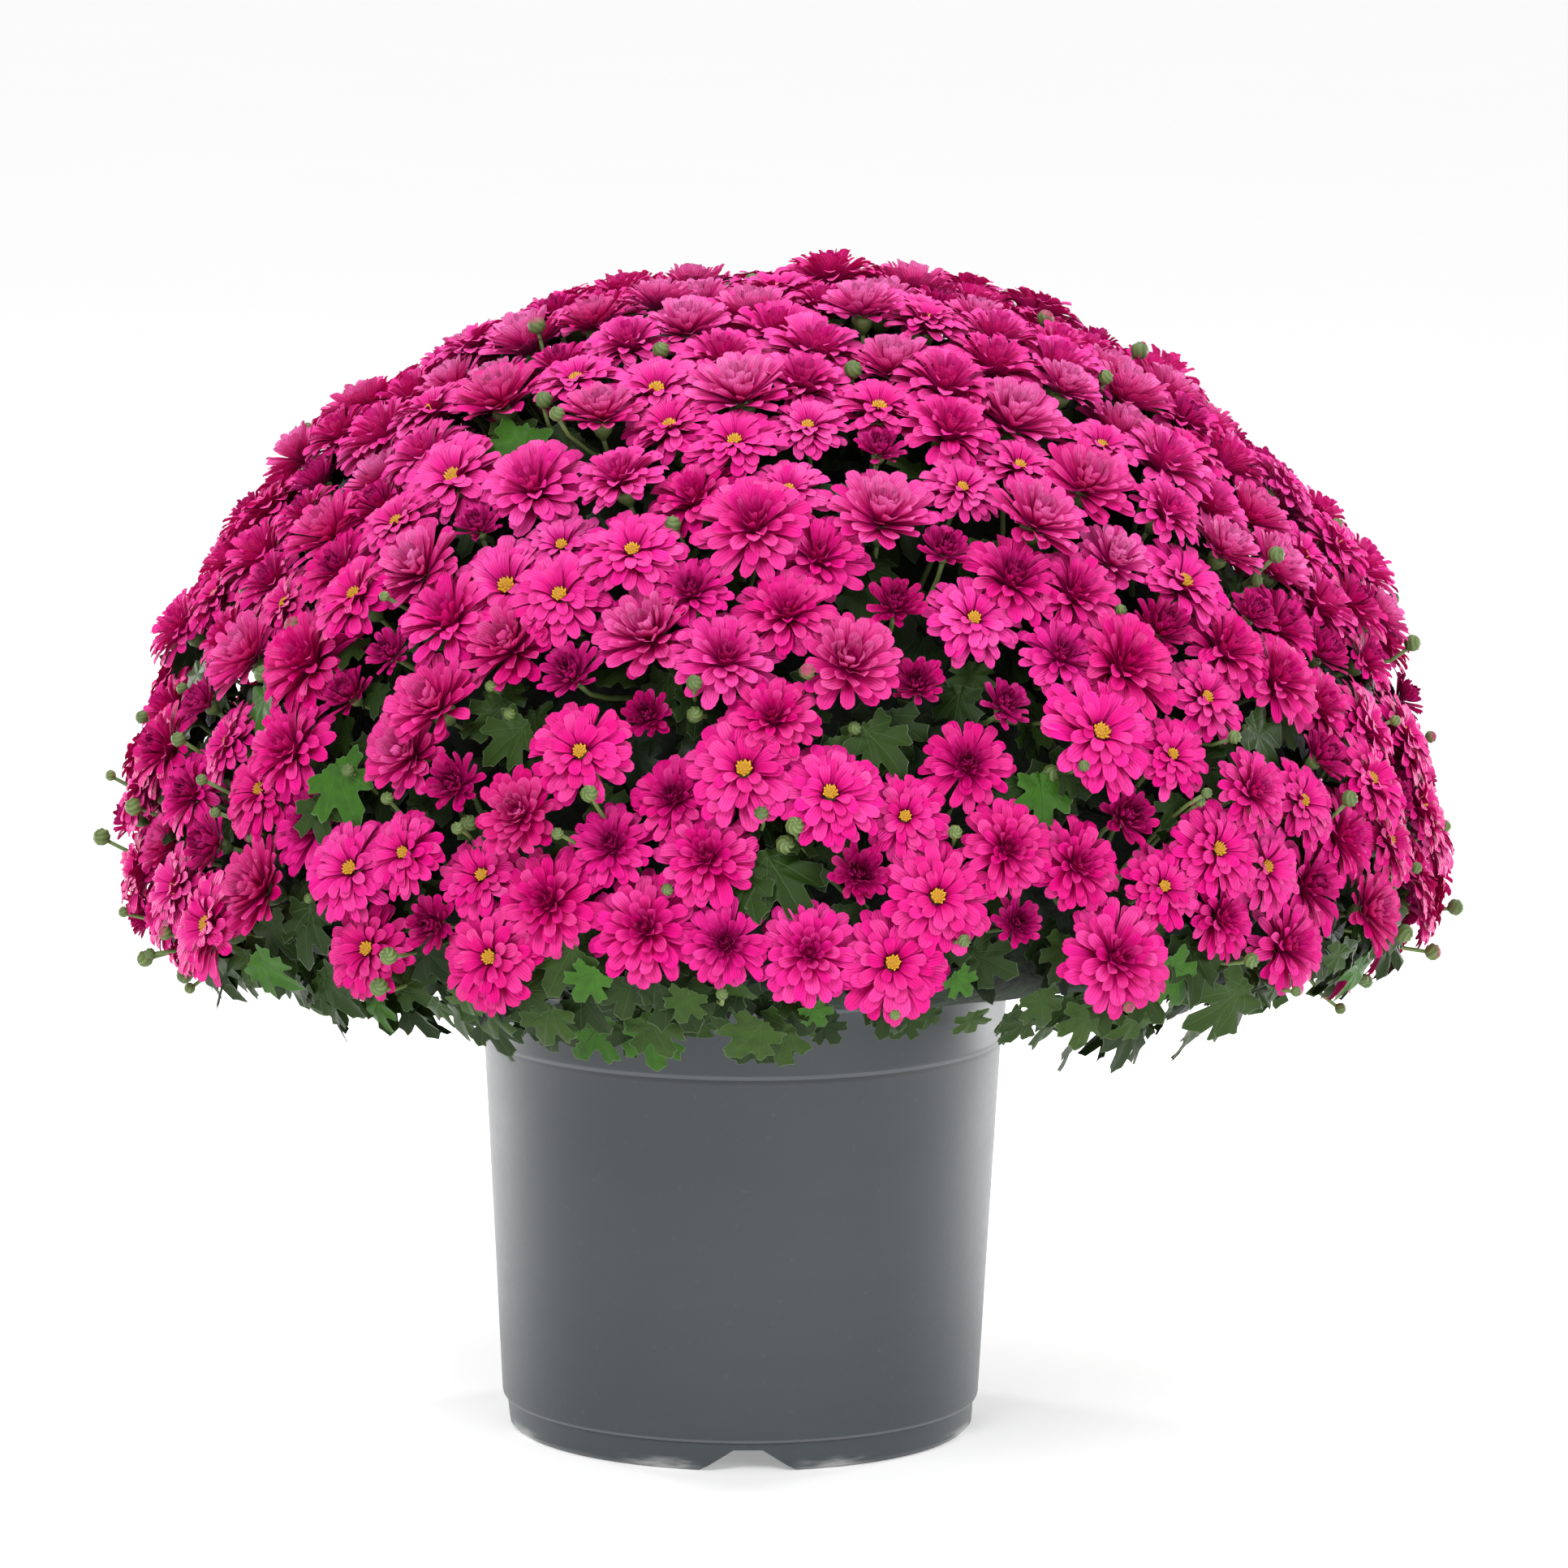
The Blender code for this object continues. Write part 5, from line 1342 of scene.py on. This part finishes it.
def pot_cutters():
    """Points of the bars through the foot ring and the rods through the floor that cut the pot: for each one
    the outlines of its two ends."""
    splay = 0.5 * (NOTCH_FOOT_WIDTH - NOTCH_TOP_WIDTH) / NOTCH_HEIGHT
    low = 0.5 * NOTCH_FOOT_WIDTH + splay * CUT_BELOW_GROUND
    high = 0.5 * NOTCH_TOP_WIDTH
    outline = np.array([(-low, -CUT_BELOW_GROUND), (low, -CUT_BELOW_GROUND),
                        (high, NOTCH_HEIGHT), (-high, NOTCH_HEIGHT)])
    up = np.array([0.0, 0.0, 1.0])
    shapes = []
    for number in range(NOTCH_COUNT):
        turn = NOTCH_FIRST_TURN + 2.0 * math.pi * number / NOTCH_COUNT
        out = np.array([math.cos(turn), math.sin(turn), 0.0])
        side = np.array([-out[1], out[0], 0.0])
        bar = outline[:, :1] * side + outline[:, 1:] * up
        shapes.append(np.stack([bar + distance * out for distance in NOTCH_CUT]))
        rod = DRAIN_DISTANCE * out + polar(DRAIN_RADIUS, circle(DRAIN_SIDES), 0.0)
        shapes.append(np.stack([rod + height * up for height in DRAIN_CUT]))
    return shapes


def cut_pot(pot):
    """Cut the notches out of the foot ring and the drain holes out of the floor."""
    group = bpy.data.collections.new("cutters")
    bpy.context.scene.collection.children.link(group)
    for shape in pot_cutters():
        sides = shape.shape[1]
        side = np.arange(sides)
        walls = np.stack([side, (side + 1) % sides, (side + 1) % sides + sides, side + sides], axis=1)
        faces = walls.tolist() + [side[::-1].tolist(), (side + sides).tolist()]
        mesh = bpy.data.meshes.new("cutter")
        mesh.from_pydata(shape.reshape(-1, 3).tolist(), [], faces)
        group.objects.link(bpy.data.objects.new("cutter", mesh))
    boolean = pot.modifiers.new("cut", "BOOLEAN")
    boolean.operand_type = "COLLECTION"
    boolean.collection = group
    cut = bpy.data.meshes.new_from_object(pot.evaluated_get(bpy.context.evaluated_depsgraph_get()))
    pot.modifiers.clear()
    pot.data = cut
    cut.set_sharp_from_angle(angle=POT_SHARP)
    for cutter in list(group.objects):
        bpy.data.objects.remove(cutter, do_unlink=True)
    bpy.data.collections.remove(group)


# The pot's outline from the middle of its underside, over the foot ring and up to the rim, and down inside
# to its floor: distances from the axis and heights
POT_PROFILE = np.array([
    (0.0112, 0.0), (0.0120, 0.0008), (0.0120, 0.0112), (0.1080, 0.0112), (0.1080, 0.0006), (0.1086, 0.0),
    (0.1100, 0.0), (0.1110, 0.0002),
    (0.1136, 0.0028), (0.1138, 0.0036), (0.1138, 0.0128), (0.1140, 0.0138), (0.1148, 0.0142),
    (0.1156, 0.0147), (0.1161, 0.0156), (0.1164, 0.0168), (0.1172, 0.0320), (0.1189, 0.0640),
    (0.1206, 0.0960), (0.1223, 0.1280), (0.1240, 0.1600), (0.1256, 0.1890), (0.1263, 0.1922),
    (0.1266, 0.1928), (0.1271, 0.1932), (0.1275, 0.1940), (0.1276, 0.1960), (0.1280, 0.2150),
    (0.1281, 0.2236), (0.1283, 0.2243), (0.1285, 0.2250), (0.1285, 0.2270), (0.1281, 0.2278),
    (0.1275, 0.2280), (0.1265, 0.2280), (0.1258, 0.2277), (0.1255, 0.2270), (0.1250, 0.2150),
    (0.1243, 0.1923), (0.1200, 0.1000), (0.1144, 0.0164), (0.1118, 0.0137)])


def make_pot():
    """The pot, turned from its profile, with rounded rim, band and foot, then cut."""
    surface = Surface()
    add_turned(surface, np.eye(3), np.zeros(3), POT_PROFILE, POT_TURNS)
    cut_pot(surface.build("pot_shell", pot_finish(), "pot_plastic", ["pot"]))


# A bark chip: the corners and faces of a box
CHIP = np.array([(x, y, z) for x in (-1.0, 1.0) for y in (-1.0, 1.0) for z in (-1.0, 1.0)])
CHIP_FACES = np.array([(0, 1, 3, 2), (4, 6, 7, 5), (0, 4, 5, 1), (2, 3, 7, 6), (0, 2, 6, 4), (1, 5, 7, 3)])


def soil_height(radius):
    """Height of the mix, which falls off with the cube of the way out."""
    return SOIL_TOP - SOIL_FALL * (radius / SOIL_RADIUS) ** 3


def add_chips(surface, count, draw):
    """Bark chips that lie on the mix: flat boxes with shaken corners, each turned and tilted at random."""
    turn, lean = draw.uniform(0.0, 2.0 * math.pi, (2, count))
    radius = (SOIL_RADIUS - CHIP_MARGIN) * np.sqrt(draw.uniform(0.0, 1.0, count))
    size = np.stack([draw.uniform(*limits, count) for limits in CHIP_SIZES], axis=1)
    corners = CHIP[None] * size[:, None, :] * draw.uniform(*CHIP_CORNERS, (count, 8, 3))
    long_way = unit(polar(1.0, lean, draw.uniform(-CHIP_SLOPE, CHIP_SLOPE, count)))
    side_way = unit(np.cross(np.array([0.0, 0.0, 1.0]), long_way))
    axes = np.stack([long_way, side_way, np.cross(long_way, side_way)], axis=1)
    centre = polar(radius, turn, soil_height(radius) + CHIP_LIFT)
    points = centre[:, None, :] + np.einsum("cpi,cij->cpj", corners, axes)
    surface.add(points, repeated(CHIP_FACES, count, 8), chip=1.0)


def make_soil(draw):
    """Crumbly mix: a polar grid with small random heights, closed below, and loose chips on it."""
    rings, sides = SOIL_GRID
    radius = np.linspace(0.0, SOIL_RADIUS, rings + 1)[1:, None]
    height = soil_height(radius) + draw.uniform(-SOIL_BUMP, SOIL_BUMP, (rings, sides))
    out = np.append(radius, [[SOIL_BOTTOM_RADIUS]], axis=0)
    up = np.append(height, np.full((1, sides), SOIL_BOTTOM), axis=0)
    last = (rings + 1) * sides
    ring = np.arange(sides)
    surface = Surface()
    surface.add(turned(out, up, sides, SOIL_TOP, SOIL_BOTTOM), grid_quads(rings + 1, sides, True),
                fan(last, ring), fan(last + 1, last - sides + ring, False), chip=0.0)
    add_chips(surface, CHIP_COUNT, draw)
    surface.build("potting_mix", soil_finish(), "soil", ["soil"])


def make_floor():
    """A pale floor that glows a little, so that it looks white as in the photo."""
    finish = Finish("floor", {"Roughness": 0.9, "Emission Color": WHITE, "Emission Strength": FLOOR_GLOW})
    pale = finish.mix(finish.noise(3.0), (0.90, 0.90, 0.90), (0.92, 0.92, 0.92))
    finish.feed(finish.shader.inputs["Base Color"], pale)
    mesh = bpy.data.meshes.new("floor")
    corners = [(FLOOR_HALF * x, FLOOR_HALF * y, 0.0) for x, y in ((-1, -1), (1, -1), (1, 1), (-1, 1))]
    mesh.from_pydata(corners, [], [(0, 1, 2, 3)])
    mesh.materials.append(finish.material)
    floor = link("floor", mesh)


def add_area(name, place_at, look_at, size, power):
    """A rectangular lamp that looks at a point."""
    lamp = bpy.data.lights.new(name, "AREA")
    lamp.shape = "RECTANGLE"
    lamp.size, lamp.size_y = size
    lamp.energy = power
    made = link(name, lamp)
    made.location = place_at
    made.rotation_mode = "QUATERNION"
    direction = np.array(look_at) - np.array(place_at)
    made.rotation_quaternion = Vector(direction).to_track_quat("-Z", "Y")


def make_light():
    """Lamps, and soft surroundings that the camera sees as plain white."""
    scene = bpy.context.scene
    scene.world = bpy.data.worlds.new("studio")
    scene.world.use_nodes = True
    nodes = Nodes(scene.world.node_tree)
    soft = nodes.tree.nodes["Background"]
    nodes.feed(soft.inputs["Color"], WHITE)
    nodes.feed(soft.inputs["Strength"], WORLD_STRENGTH)
    shown = nodes.node("ShaderNodeBackground", {}, {"Color": WHITE, "Strength": 1.0})
    seen = nodes.node("ShaderNodeLightPath", {}, {}).outputs["Is Camera Ray"]
    blend = nodes.node("ShaderNodeMixShader", {}, {0: seen, 1: soft.outputs[0], 2: shown.outputs[0]})
    nodes.feed(nodes.tree.nodes["World Output"].inputs["Surface"], blend.outputs[0])
    for name, facts in LAMPS.items():
        add_area(name, *facts)
    scene.view_settings.view_transform = "Standard"


def make_camera():
    """The photo's view. The shift brings the pot's axis to the pixel that it has in the photo."""
    camera = bpy.data.cameras.new("camera")
    camera.sensor_width = SENSOR
    camera.lens = SENSOR * FOCAL_PIXELS / PHOTO_SIDE
    camera.shift_x = (0.5 * PHOTO_SIDE - AXIS_PIXEL) / PHOTO_SIDE
    made = link("camera", camera)
    made.location = CAMERA_PLACE
    made.rotation_mode = "XYZ"
    tilt = Matrix.Rotation(0.5 * math.pi - CAMERA_DOWN, 3, "X")
    roll = Matrix.Rotation(CAMERA_ROLL, 3, "Z")
    made.rotation_euler = (tilt @ roll).to_euler("XYZ")
    bpy.context.scene.camera = made


def main():
    """Make everything. All pieces share one row of seeded draws, so their order is fixed."""
    draw = np.random.RandomState(LOOK_SEED)
    make_camera()
    sites = make_sites()
    to_seeds = sites["point"][:, None, :] - spray_seeds()[None, :, :]
    sites["spray"] = np.argmin(np.linalg.norm(to_seeds, axis=2), axis=1)
    sites = stir(sites, draw)
    gaps = widest_gaps(sites)
    make_pot()
    make_soil(draw)
    make_core()
    make_leaves(sites, gaps, draw)
    sites["kind"], sites["radius"] = choose_kinds(sites, draw)
    make_stalks(sites, gaps, draw)
    make_blooms(sites, draw)
    make_floor()
    make_light()


main()
